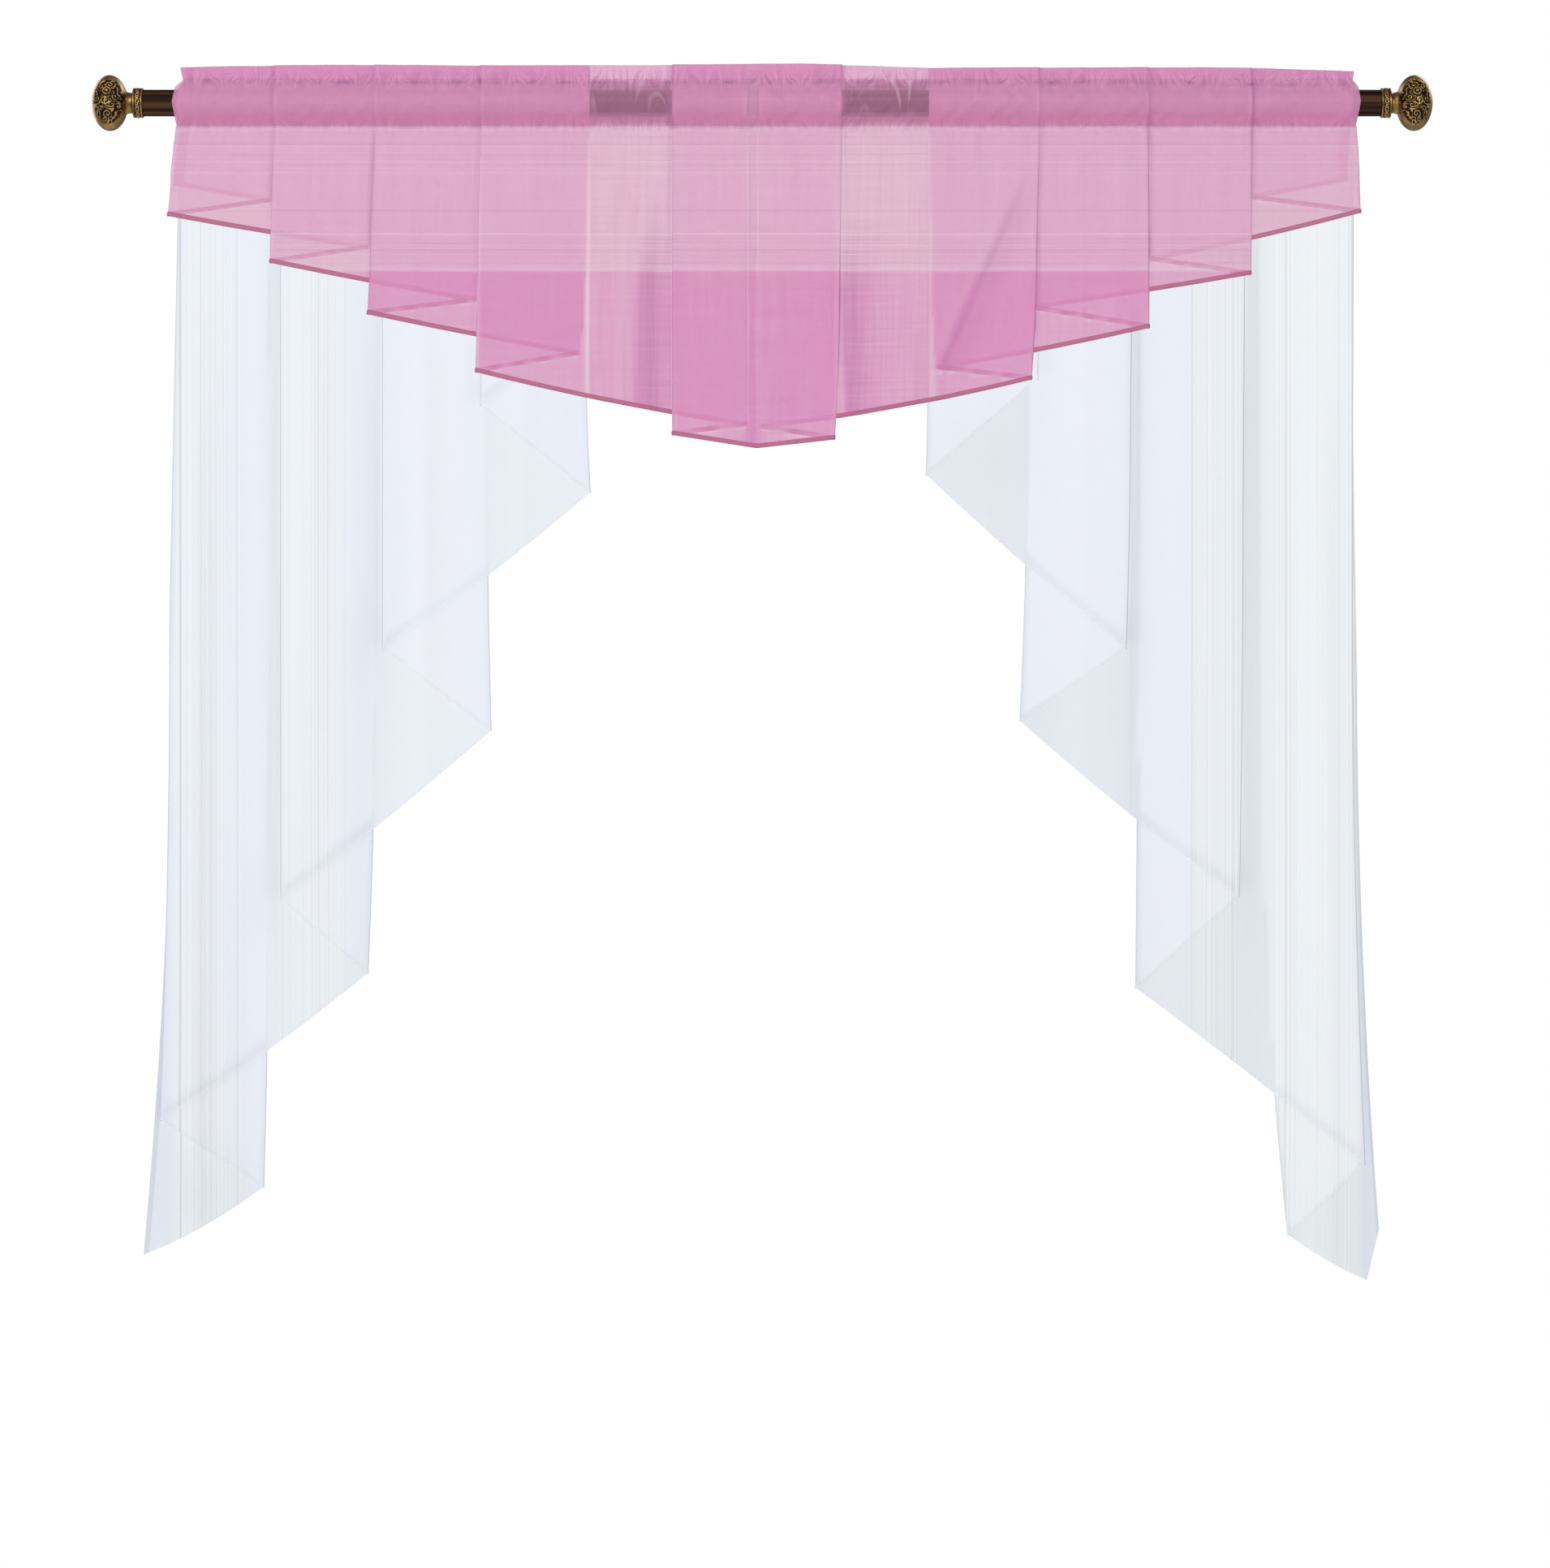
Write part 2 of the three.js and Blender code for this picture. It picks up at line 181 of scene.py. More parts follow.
class Graph:
    """The node tree of one material or world."""

    MIX_FACTOR, MIX_A, MIX_B, MIX_RESULT = 0, 6, 7, 2
    NOISE_MIDDLE, NOISE_GAIN = 0.5, 4.0

    def __init__(self, owner: bpy.types.Material | bpy.types.World) -> None:
        """Empty the tree of a new material or world.

        Args:
            owner: The material or world.
        """
        self.owner = owner
        owner.use_nodes = True
        self.tree = owner.node_tree
        self.tree.nodes.clear()

    def node(
        self, kind: str, settings: dict | None = None, inputs: dict | None = None, output: int | str = 0
    ) -> Sock:
        """Add a node.

        Args:
            kind: The node's type.
            settings: Its options, set first.
            inputs: Values or links of its sockets, by name or number.
            output: The socket that is handed on.

        Returns:
            The wrapped output socket, empty on a node without one.
        """
        made = self.tree.nodes.new(kind)
        for key, value in (settings or {}).items():
            if key == "stops":
                self.set_stops(made.color_ramp, value)
            else:
                setattr(made, key, value)
        for key, value in (inputs or {}).items():
            if isinstance(value, Sock):
                self.tree.links.new(value.socket, made.inputs[key])
            else:
                made.inputs[key].default_value = value
        return Sock(self, made.outputs[output] if made.outputs else None)

    @staticmethod
    def set_stops(ramp: bpy.types.ColorRamp, stops: list[Stop]) -> None:
        """Give a colour ramp its stops.

        Args:
            ramp: The ramp.
            stops: Its stops, each a place from 0 to 1 and a colour.
        """
        while len(ramp.elements) > 1:
            ramp.elements.remove(ramp.elements[-1])
        (ramp.elements[0].position, ramp.elements[0].color), *others = stops
        for place, colour in others:
            ramp.elements.new(place).color = colour

    def mix(
        self, factor: Sock | float, first: Sock | Colour, second: Sock | Colour, blend: str = "MIX"
    ) -> Sock:
        """Mix two colours.

        Args:
            factor: Share of the second.
            first: The colour at 0.
            second: The colour at 1.
            blend: How the second is laid on.

        Returns:
            The mixed colour.
        """
        settings = {"data_type": "RGBA", "blend_type": blend}
        inputs = {self.MIX_FACTOR: factor, self.MIX_A: first, self.MIX_B: second}
        return self.node("ShaderNodeMix", settings, inputs, self.MIX_RESULT)

    def coordinate(self, kind: str) -> tuple[Sock, Sock, Sock, Sock]:
        """Texture coordinates of one kind.

        Args:
            kind: Object or UV.

        Returns:
            The vector and its three parts.
        """
        vector = self.node("ShaderNodeTexCoord", None, None, kind)
        first = self.node("ShaderNodeSeparateXYZ", None, {0: vector})
        parts = [Sock(self, output) for output in first.socket.node.outputs]
        return vector, *parts

    def stretched(self, vector: Sock, scale: tuple[float, float, float]) -> Sock:
        """The vector with each part scaled."""
        return self.node("ShaderNodeVectorMath", {"operation": "MULTIPLY"}, {0: vector, 1: scale})

    def noise(self, vector: Sock, scale: float, detail: float = 2.0, dimensions: str = "3D") -> Sock:
        """Noise texture's value at a vector."""
        inputs = {"Vector": vector, "Scale": scale, "Detail": detail}
        return self.node("ShaderNodeTexNoise", {"noise_dimensions": dimensions}, inputs, "Fac")

    def noise_along(self, place: Sock, detail: float = 0.0) -> Sock:
        """Noise along one coordinate, about -1 to 1.

        Args:
            place: The coordinate, in units of the noise's pitch.
            detail: How much finer noise is added.

        Returns:
            The noise.
        """
        inputs = {"W": place, "Scale": 1.0, "Detail": detail}
        level = self.node("ShaderNodeTexNoise", {"noise_dimensions": "1D"}, inputs, "Fac")
        return (level - self.NOISE_MIDDLE) * self.NOISE_GAIN

    def ramp(self, place: Sock, low: float, high: float, stops: list[Stop]) -> Sock:
        """Colour ramp over a coordinate.

        Args:
            place: The coordinate, in metres.
            low: Where the ramp starts, in millimetres.
            high: Where it ends.
            stops: Its stops, each a place in millimetres and a colour.

        Returns:
            The colour.
        """
        share = (place - low * MM) / ((high - low) * MM)
        spread = [((at - low) / (high - low), colour) for at, colour in stops]
        return self.node("ShaderNodeValToRGB", {"stops": spread}, {0: share})

    def attribute(self, name: str) -> Sock:
        """Value that the mesh stores at its points."""
        return self.node("ShaderNodeAttribute", {"attribute_name": name}, None, "Fac")

    def bump(self, height: Sock, distance: float, strength: float = 1.0) -> Sock:
        """Bump normal from a height."""
        inputs = {"Height": height, "Distance": distance, "Strength": strength}
        return self.node("ShaderNodeBump", None, inputs, "Normal")

    def surface(self, **inputs: "Sock | float | Colour") -> bpy.types.Material:
        """Close the tree with a Principled surface.

        Args:
            **inputs: The shader's sockets, their names written with underscores.

        Returns:
            The finished material.
        """
        named = {key.replace("_", " "): value for key, value in inputs.items()}
        shader = self.node("ShaderNodeBsdfPrincipled", None, named)
        self.node("ShaderNodeOutputMaterial", None, {"Surface": shader})
        return self.owner


@dataclass(frozen=True)
class WovenLine:
    """A fine line in a cloth: its place, half width in millimetres, and tone, light above 0."""

    place: float
    half_width: float
    tone: float


@dataclass(frozen=True)
class LineBand:
    """A stretch of a cloth that is full of fine lines, and how strongly they show."""

    low: float
    high: float
    tone: float


@dataclass(frozen=True)
class Zone:
    """A stretch of a cloth from one place to the next zone: its colour and how much it covers."""

    low: float
    colour: Colour
    cover: float


@dataclass(frozen=True)
class Gather:
    """A row of stitches that gathers a cloth: its height, the small folds' reach, pitch and slant, the
    painted shade in the creases between them everywhere, and the painted light on their crests where the
    cloth is slack."""

    height: float
    reach: float
    pitch: float
    slant: float
    tone: float
    slack_tone: float
    lean_pitches: float = 3.0
    sharpness: float = 2.25

    def fanned(self, graph: Graph, x: Sock, z: Sock) -> tuple[Sock, Sock]:
        """Small folds that fan up and down from the row.

        Args:
            graph: The material's graph.
            x: Place along the rod, in metres.
            z: Height, in metres.

        Returns:
            The folds' height, about -1 to 1, and the sharp creases between them, 0 to 1. Both fade away from
            the row.
        """
        above = z - self.height * MM
        lean = graph.noise_along(x / (self.lean_pitches * self.pitch * MM))
        folds = graph.noise_along((x + above * lean * self.slant) / (self.pitch * MM))
        fade = 1.0 - abs(above).rise(0.0, self.reach * MM)
        return folds * fade, (1.0 - abs(folds) * self.sharpness).most(0.0) * fade


@dataclass(frozen=True)
class SheerFinish:
    """A sheer plain weave with fine woven lines, denser along its side hems.

    Where a single layer hangs by itself, the light through it makes it deeper and closer.
    """

    name: str
    zones: tuple[Zone, ...]
    light: Colour
    deep: Colour
    lone_tint: Colour
    lone_cover: float
    side_hem: float
    lines: tuple[WovenLine, ...]
    lines_up: bool
    bands: tuple[LineBand, ...] = ()
    gathers: tuple[Gather, ...] = ()
    shade_tint: Colour = (0.52, 0.47, 0.60, 1.0)
    pocket_shade_tint: Colour = (0.70, 0.68, 0.68, 1.0)
    shade_cover: float = 0.5
    slack_cover: float = -0.08
    slub: float = 0.2
    thread: float = 0.55
    hem_cover: float = 0.22
    hem_deep: float = 0.35
    edge: float = 1.2
    margin: float = 3.0
    slub_pitches: tuple[float, float] = (420.0, 9.0)
    band_soft: float = 5.0
    band_pitch: float = 1.7
    fold_relief: float = 40.0
    side_hem_soft: float = 0.6
    weave_cover: float = 0.03
    roughness: float = 0.8

    def zone_stops(self, low: float) -> list[Stop]:
        """Ramp stops of the zones, the cover kept in their alpha.

        Args:
            low: Where the ramp starts.

        Returns:
            The stops.
        """
        stops = []
        for zone, above in zip(self.zones, self.zones[1:] + (None,)):
            value = (*zone.colour[:3], zone.cover)
            stops.append((max(low, zone.low + self.edge / 2), value))
            if above:
                stops.append((above.low - self.edge / 2, value))
        return stops

    def line_stops(self, low: float) -> list[Stop]:
        """Ramp stops of the woven lines: grey for none, lighter or darker on a line.

        Args:
            low: Where the ramp starts.

        Returns:
            The stops.
        """
        level = 0.5
        stops = [(low, (level, level, level, 1.0))]
        for line in sorted(self.lines, key=lambda line: line.place):
            peak = level + level * line.tone
            for offset, grey in ((-line.half_width, level), (0.0, peak), (line.half_width, level)):
                stops.append((line.place + offset, (grey, grey, grey, 1.0)))
        return stops

    def zoned(self, graph: Graph, place: Sock) -> tuple[Sock, Sock]:
        """The cloth's colour and cover by place.

        Args:
            graph: The material's graph.
            place: Height, or place along the rod where the lines run up, in metres.

        Returns:
            The colour and the cover.
        """
        low = self.zones[1].low - self.margin
        high = self.zones[-1].low + self.margin
        colour = graph.ramp(place, low, high, self.zone_stops(low))
        return colour, Sock(graph, colour.socket.node.outputs["Alpha"])

    def lined(self, graph: Graph, place: Sock, colour: Sock) -> Sock:
        """Draw the woven lines on the cloth.

        Args:
            graph: The material's graph.
            place: The coordinate that the lines lie across, in metres.
            colour: The cloth's colour.

        Returns:
            The colour with the lines.
        """
        low = min(line.place for line in self.lines) - self.margin
        high = max(line.place for line in self.lines) + self.margin
        lightness = graph.ramp(place, low, high, self.line_stops(low)) * 2.0 - 1.0
        colour = graph.mix(lightness, colour, self.light)
        return graph.mix(lightness * -1.0, colour, self.deep)

    def make(self, flat_width: float) -> bpy.types.Material:
        """Build the material.

        Args:
            flat_width: Width of the cloth laid flat, in metres, for its side hems.

        Returns:
            The material.
        """
        graph = Graph(bpy.data.materials.new(self.name))
        _, x, _, z = graph.coordinate("Object")
        cloth, across, up, _ = graph.coordinate("UV")
        lone, shade, slack, pocket_shade = (graph.attribute(name) for name in ("lone", "shade", "slack", "pocket_shade"))
        place = x if self.lines_up else z
        colour, cover = self.zoned(graph, place)
        close, long = self.slub_pitches
        warp = graph.noise(graph.stretched(cloth, (close, long, 1.0)), 1.0, 1.0, "2D")
        weft = graph.noise(graph.stretched(cloth, (long, close, 1.0)), 1.0, 1.0, "2D")
        slub = warp + weft - 1.0
        colour = graph.mix(slub * self.slub, colour, self.deep)
        colour = graph.mix(slub * -self.slub, colour, self.light)
        colour = self.lined(graph, place, colour)
        colour = graph.mix(lone, colour, self.lone_tint, "MULTIPLY")
        turn = math.tau / (self.thread * MM)
        weave = (across * turn).sine() * (up * turn).sine()
        relief = weave
        for band in self.bands:
            inside = place.rise(band.low * MM, (band.low + self.band_soft) * MM)
            inside = inside - place.rise((band.high - self.band_soft) * MM, band.high * MM)
            shade = shade + graph.noise_along(place / (self.band_pitch * MM), 1.0) * inside * band.tone
        for row in self.gathers:
            folds, creases = row.fanned(graph, x, z)
            # Painted shade in the creases between the small folds, and painted light on their crests where
            # the cloth is slack.
            shade = shade + creases * row.tone - folds.most(0.0) * slack * row.slack_tone
            relief = relief + (folds * slack * row.slack_tone - creases * row.tone) * self.fold_relief
        from_side = across.least(flat_width - across)
        hem = 1.0 - from_side.rise(self.side_hem * MM, (self.side_hem + self.side_hem_soft) * MM)
        colour = graph.mix(hem * self.hem_deep, colour, self.deep)
        colour = graph.mix(shade, colour, self.shade_tint, "MULTIPLY")
        colour = graph.mix(shade * -1.0, colour, self.light)
        # Painted shade over and under the rod where the pocket is slack.
        colour = graph.mix(pocket_shade, colour, self.pocket_shade_tint, "MULTIPLY")
        cover = cover + lone * self.lone_cover + hem * self.hem_cover + slub * (self.slub / 3.0)
        cover = cover + weave * self.weave_cover + abs(shade) * self.shade_cover + slack * self.slack_cover
        return graph.surface(
            Base_Color=colour,
            Roughness=self.roughness + slub * 0.2,
            Alpha=cover.least(1.0),
            Normal=graph.bump(relief, 0.05 * MM, 0.4),
            Specular_IOR_Level=0.15,
        )


@dataclass(frozen=True)
class ThreadFinish:
    """Close wound thread, as on a rolled hem or a row of stitches."""

    name: str
    colour: Colour
    deep: Colour
    cover: float
    wrap: float

    def make(self) -> bpy.types.Material:
        """Build the material, its turns of thread slanting over the roll.

        Returns:
            The material.
        """
        graph = Graph(bpy.data.materials.new(self.name))
        vector, *_ = graph.coordinate("Object")
        _, across, around, _ = graph.coordinate("UV")
        turn = math.tau / (self.wrap * MM)
        thread = ((across + around * 0.5) * turn).sine() * 0.5 + 0.5
        uneven = graph.noise(vector, 160.0)
        colour = graph.mix((1.0 - thread) * 0.4 + uneven * 0.2, self.colour, self.deep)
        return graph.surface(
            Base_Color=colour,
            Roughness=0.6 + uneven * 0.2,
            Alpha=self.cover,
            Normal=graph.bump(thread + uneven * 0.3, 0.12 * MM, 0.5),
            Specular_IOR_Level=0.25,
        )


@dataclass(frozen=True)
class BronzeFinish:
    """Dark bronze enamel on a drawn tube, with lighter streaks along it: partly the tube's own drawn marks,
    partly painted reflection.
    """

    name: str = "dark_bronze"
    dark: Colour = (0.018, 0.011, 0.0074, 1.0)
    light: Colour = (0.092, 0.046, 0.023, 1.0)

    def make(self) -> bpy.types.Material:
        """Build the material.

        Returns:
            The material.
        """
        graph = Graph(bpy.data.materials.new(self.name))
        vector, *_ = graph.coordinate("Object")
        # Lighter streaks along the rod: partly the drawn tube's marks, partly painted reflection.
        streak_and_sheen = graph.noise(graph.stretched(vector, (1.5, 190.0, 190.0)), 1.0, 3.0)
        fine = graph.noise(graph.stretched(vector, (14.0, 1500.0, 1500.0)), 1.0)
        colour = graph.mix((streak_and_sheen * 0.85 + fine * 0.15).rise(0.42, 0.62), self.dark, self.light)
        return graph.surface(
            Base_Color=colour,
            Metallic=0.3,
            Roughness=0.4 + fine * 0.2,
            Normal=graph.bump(fine, 0.05 * MM, 0.4),
            Specular_IOR_Level=0.01,
        )


@dataclass(frozen=True)
class BrassFinish:
    """Antiqued cast brass, rubbed bright on what stands proud and dark in the hollows."""

    name: str = "antique_brass"
    hollow: Colour = (0.028, 0.017, 0.008, 1.0)
    body: Colour = (0.341, 0.195, 0.055, 1.0)
    shaded: Colour = (0.157, 0.087, 0.031, 1.0)
    rubbed: Colour = (0.811, 0.572, 0.23, 1.0)

    def make(self) -> bpy.types.Material:
        """Build the material from the relief that the mesh stores.

        Returns:
            The material.
        """
        graph = Graph(bpy.data.materials.new(self.name))
        vector, *_ = graph.coordinate("Object")
        relief = graph.attribute("relief")
        patina = graph.noise(vector, 110.0, 3.0)
        fine = graph.noise(vector, 900.0, 2.0)
        plain = graph.mix(patina.rise(0.42, 0.6), self.shaded, self.body)
        colour = graph.mix(relief.rise(0.05, 0.5), self.hollow, plain)
        colour = graph.mix(relief.rise(0.72, 1.0) * (0.5 + patina * 0.5), colour, self.rubbed)
        colour = graph.mix((fine - 0.5).rise(0.05, 0.35) * 0.5, colour, self.shaded)
        return graph.surface(
            Base_Color=colour,
            Metallic=0.95,
            Roughness=0.46 - relief * 0.16 + fine * 0.12,
            Normal=graph.bump(fine + patina, 0.1 * MM, 0.4),
        )


class Layer(Enum):
    """Which of a pleat's layers a fold lies in: the sign tells where its tip points on the left half."""

    FRONT = -1
    BACK = 1


class Half(Enum):
    """Which half of the curtain a fold belongs to: front folds face outwards in both."""

    LEFT = 1
    RIGHT = -1


class Turn(Enum):
    """How the cloth passes a row of its fold table."""

    ROUND = "folded back on itself"
    FLAT = "no fold"
    EDGE = "the cloth's side edge"


FRONT, BACK = Layer.FRONT, Layer.BACK
LEFT, RIGHT = Half.LEFT, Half.RIGHT


@dataclass(frozen=True)
class Fold:
    """A fold or edge: its place across at the seam, halfway down and at the hem, the hem's drop, the hem's
    sag on the way to the next row, and the layer, half and kind."""

    top: float
    mid: float
    foot: float
    drop: float
    sag: float
    layer: Layer
    half: Half = LEFT
    turn: Turn = Turn.ROUND

    @property
    def tip(self) -> int:
        """Which way the fold's tip points across."""
        return self.layer.value * self.half.value


VALANCE_FOLDS = (
    Fold(-545, -549, -553, 77, 0, BACK, LEFT, Turn.EDGE),
    Fold(-455, -456, -458, 93, 0, BACK),
    Fold(-549, -553, -556, 107, 1, FRONT),
    Fold(-361, -364, -367, 137, 0, BACK),
    Fold(-457, -459, -460, 151, 1, FRONT),
    Fold(-262, -264, -266, 186, 0, BACK),
    Fold(-363, -366, -369, 199, 1, FRONT),
    Fold(-161, -164, -170, 236, 0, BACK),
    Fold(-264, -266, -268, 253, 3, FRONT),
    Fold(-14, -14, -14, 303, 0, BACK),
    Fold(-84, -84, -84, 312, 0, FRONT),
    Fold(-4, -5, -5, 324, 0, FRONT, LEFT, Turn.FLAT),
    Fold(75, 73, 68, 316, 0, FRONT, RIGHT),
    Fold(-3, -3, -3, 305, 4, BACK, RIGHT),
    Fold(260, 257, 252, 260, 0, FRONT, RIGHT),
    Fold(156, 158, 161, 249, 2, BACK, RIGHT),
    Fold(362, 362, 362, 212, 0, FRONT, RIGHT),
    Fold(257, 254, 250, 193, 1, BACK, RIGHT),
    Fold(459, 458, 457, 162, 0, FRONT, RIGHT),
    Fold(359, 360, 361, 148, 2, BACK, RIGHT),
    Fold(557, 559, 560, 104, 0, FRONT, RIGHT),
    Fold(456, 456, 456, 90, 0, BACK, RIGHT),
    Fold(551, 549, 548, 73, 0, BACK, RIGHT, Turn.EDGE),
)
LEFT_FALL_FOLDS = (
    Fold(-544, -556, -580, 1079, 5, BACK, LEFT, Turn.EDGE),
    Fold(-462, -462, -468, 1017, 0, BACK),
    Fold(-546, -556, -564, 953, 5, FRONT),
    Fold(-360, -361, -370, 816, 0, BACK),
    Fold(-452, -452, -452, 747, 3, FRONT),
    Fold(-256, -258, -254, 588, 0, BACK),
    Fold(-357, -356, -356, 512, 5, FRONT),
    Fold(-164, -166, -161, 364, 0, BACK),
    Fold(-264, -264, -264, 284, 0, FRONT),
    Fold(-162, -162, -163, 204, 0, FRONT, LEFT, Turn.EDGE),
)
RIGHT_FALL_FOLDS = (
    Fold(155, 155, 155, 200, 0, FRONT, RIGHT, Turn.EDGE),
    Fold(260, 260, 259, 259, 0, FRONT, RIGHT),
    Fold(155, 156, 154, 348, 3, BACK, RIGHT),
    Fold(350, 346, 342, 511, 0, FRONT, RIGHT),
    Fold(250, 249, 242, 579, 4, BACK, RIGHT),
    Fold(454, 451, 448, 744, 0, FRONT, RIGHT),
    Fold(353, 353, 351, 830, -2, BACK, RIGHT),
    Fold(555, 554, 566, 995, 0, FRONT, RIGHT),
    Fold(464, 466, 494, 1062, 3, BACK, RIGHT),
    Fold(541, 549, 569, 1104, 0, BACK, RIGHT, Turn.FLAT),
    Fold(551, 559, 580, 1056, 0, BACK, RIGHT, Turn.EDGE),
)


@dataclass(frozen=True)
class Crease:
    """A soft ridge down the cloth, or a trough where its swell is below 0."""

    top_x: float
    foot_x: float
    start: float
    end: float
    width: float
    swell: float
    grown_at: float = 0.35

    def at(self, x: np.ndarray, z: np.ndarray) -> np.ndarray:
        """How far the crease lifts the cloth.

        Args:
            x: Places across.
            z: Heights.

        Returns:
            The lift forwards at each point.
        """
        down = (self.start - z) / (self.start - self.end)
        middle = lerp(self.top_x, self.foot_x, np.clip(down, 0.0, 1.0))
        return self.swell * smoothstep(down / self.grown_at) * bell((x - middle) / self.width)


@dataclass(frozen=True)
class Spot:
    """A soft round patch of shade, or of light where its tone is below 0."""

    x: float
    z: float
    half_x: float
    half_z: float
    tone: float

    def at(self, x: np.ndarray, z: np.ndarray) -> np.ndarray:
        """The tone at each point."""
        away = ((x - self.x) / self.half_x) ** 2 + ((z - self.z) / self.half_z) ** 2
        return self.tone * np.exp(-away)


VALANCE_CREASES = (
    Crease(-118, -108, -60, -330, 24, 3.5),
    Crease(120, 124, -60, -330, 26, 3.0),
    Crease(256, 171, -50, -245, 9, -2.0),
    Crease(-140, -136, -30, -300, 8, 1.5),
    Crease(-99, -97, -40, -320, 6, -1.6),
    Crease(90, 93, -30, -320, 7, -1.6),
    Crease(146, 140, -40, -250, 8, 1.2),
    Crease(-3, -3, -24, -330, 6, 1.3),
    Crease(292, 300, -24, -150, 6, 0.9),
    Crease(338, 334, -24, -190, 7, 1.0),
    Crease(388, 380, -24, -140, 6, 0.9),
    Crease(-330, -326, -24, -180, 8, 0.8),
    Crease(-430, -424, -24, -130, 7, 0.7),
)
# A Spot is a round patch of painted shade, or of painted light where its tone is below 0.
# In the shade tables a Crease's swell is a tone: painted shade above 0, painted light below, in soft bands
# down the cloth.
VALANCE_SHADES = (
    Crease(-127, -134, -30, -270, 10, -0.4),
    Crease(-116, -112, -110, -330, 17, 0.16),
    Crease(-96, -98, -60, -330, 16, 0.1),
    Crease(78, 84, -110, -330, 15, 0.18),
    Crease(96, 100, -60, -330, 20, 0.06),
    Crease(-160.5, -163, -20, -200, 2.5, -0.6),
    Crease(157, 159, -20, -250, 2.5, -0.2),
    Crease(-2, -3, -20, -190, 10, -0.1),
    Crease(-8.5, -8.5, -20, -330, 6, 0.14),
    Crease(73, 70, -20, -200, 1.8, -0.3),
    Crease(-264, -266, -20, -190, 2.0, -0.3),
    Crease(-363, -366, -20, -130, 2.0, 0.2),
    Crease(256, 171, -49, -241, 4.5, 0.3),
    Crease(267, 184, -49, -241, 10, 0.12),
    Crease(246, 161, -60, -241, 8, -0.1),
)
LEFT_SHADES = (
    Crease(-520, -524, -90, -900, 22, 0.03),
    Crease(-496, -497, -90, -900, 10, 0.1),
    Crease(-376, -376, -90, -760, 16, 0.1),
    Crease(-306, -306, -90, -560, 40, -0.2),
    Crease(-556, -572, -560, -1060, 6, 0.06),
    Spot(-370, -506, 20, 44, 0.1),
    Spot(-468, -740, 20, 40, 0.1),
    Spot(-270, -282, 16, 30, 0.08),
    Spot(-510, -1020, 50, 50, 0.16),
)
RIGHT_SHADES = (
    Crease(352, 350, -90, -520, 8, 0.08),
    Crease(457, 462, -90, -800, 14, 0.06),
    Crease(300, 296, -90, -480, 34, -0.12),
    Crease(384, 384, -90, -760, 18, -0.1),
    Crease(556, 566, -500, -1060, 7, 0.08),
    Spot(356, -512, 18, 40, 0.08),
    Spot(456, -744, 20, 44, 0.06),
    Spot(262, -276, 18, 34, 0.08),
    Spot(206, -330, 50, 40, 0.1),
    Spot(292, -566, 50, 40, 0.06),
    Spot(540, -1050, 40, 40, 0.06),
)
FALL_CREASES = (
    Crease(-528, -534, -100, -950, 10, 2.2),
    Crease(-506, -512, -160, -1000, 8, -1.8),
    Crease(-420, -424, -120, -760, 12, 2.0),
    Crease(-318, -316, -120, -520, 11, 1.6),
    Crease(-226, -224, -120, -330, 10, 1.2),
    Crease(212, 210, -120, -330, 10, 1.2),
    Crease(304, 300, -120, -540, 11, 1.6),
    Crease(424, 430, -160, -800, 10, 2.0),
    Crease(494, 506, -160, -980, 9, -2.0),
    Crease(522, 532, -140, -1000, 10, 2.2),
)


@dataclass(frozen=True)
class Hang:
    """How the pleats of every cloth open below the seam that holds them."""

    seam_top: float = -23.0
    pressed_gap: float = 2.4
    pressed_bend: float = 0.8
    loose_gap: float = 5.0
    loose_bend: float = 1.5
    relax: float = 130.0
    pinch: float = 0.17
    pinch_drop: float = 22.0
    sway_amount: float = 7.0
    sway_pitch: float = 420.0
    sway_reach: float = 1100.0
    sway_slant: float = 0.35
    minor_sway: float = 0.5
    minor_pitch: float = 0.43

    def opened(self, z: np.ndarray) -> np.ndarray:
        """How far the pleats have opened, from 0 at the seam to 1."""
        return smoothstep((self.seam_top - z) / self.relax)

    def pinched(self, z: np.ndarray) -> np.ndarray:
        """How much of their depth the layers have, least where the seam holds them."""
        return lerp(self.pinch, 1.0, smoothstep((self.seam_top - z) / self.pinch_drop))

    def gap(self, z: np.ndarray) -> np.ndarray:
        """Spacing of the layers."""
        return lerp(self.pressed_gap, self.loose_gap, self.opened(z)) * self.pinched(z)

    def bend(self, z: np.ndarray) -> np.ndarray:
        """Radius of the folds."""
        return lerp(self.pressed_bend, self.loose_bend, self.opened(z)) * self.pinched(z)

    def sway(self, x: np.ndarray, z: np.ndarray) -> np.ndarray:
        """Back and forth drift, which grows towards the free ends.

        Args:
            x: Places across.
            z: Heights.

        Returns:
            How far back each place drifts.
        """
        free = np.maximum(0.0, self.seam_top - z) / self.sway_reach
        major = np.sin(math.tau * (x + self.sway_slant * z) / self.sway_pitch)
        minor = np.sin(math.tau * x / (self.minor_pitch * self.sway_pitch))
        return self.sway_amount * free * (major + self.minor_sway * minor)


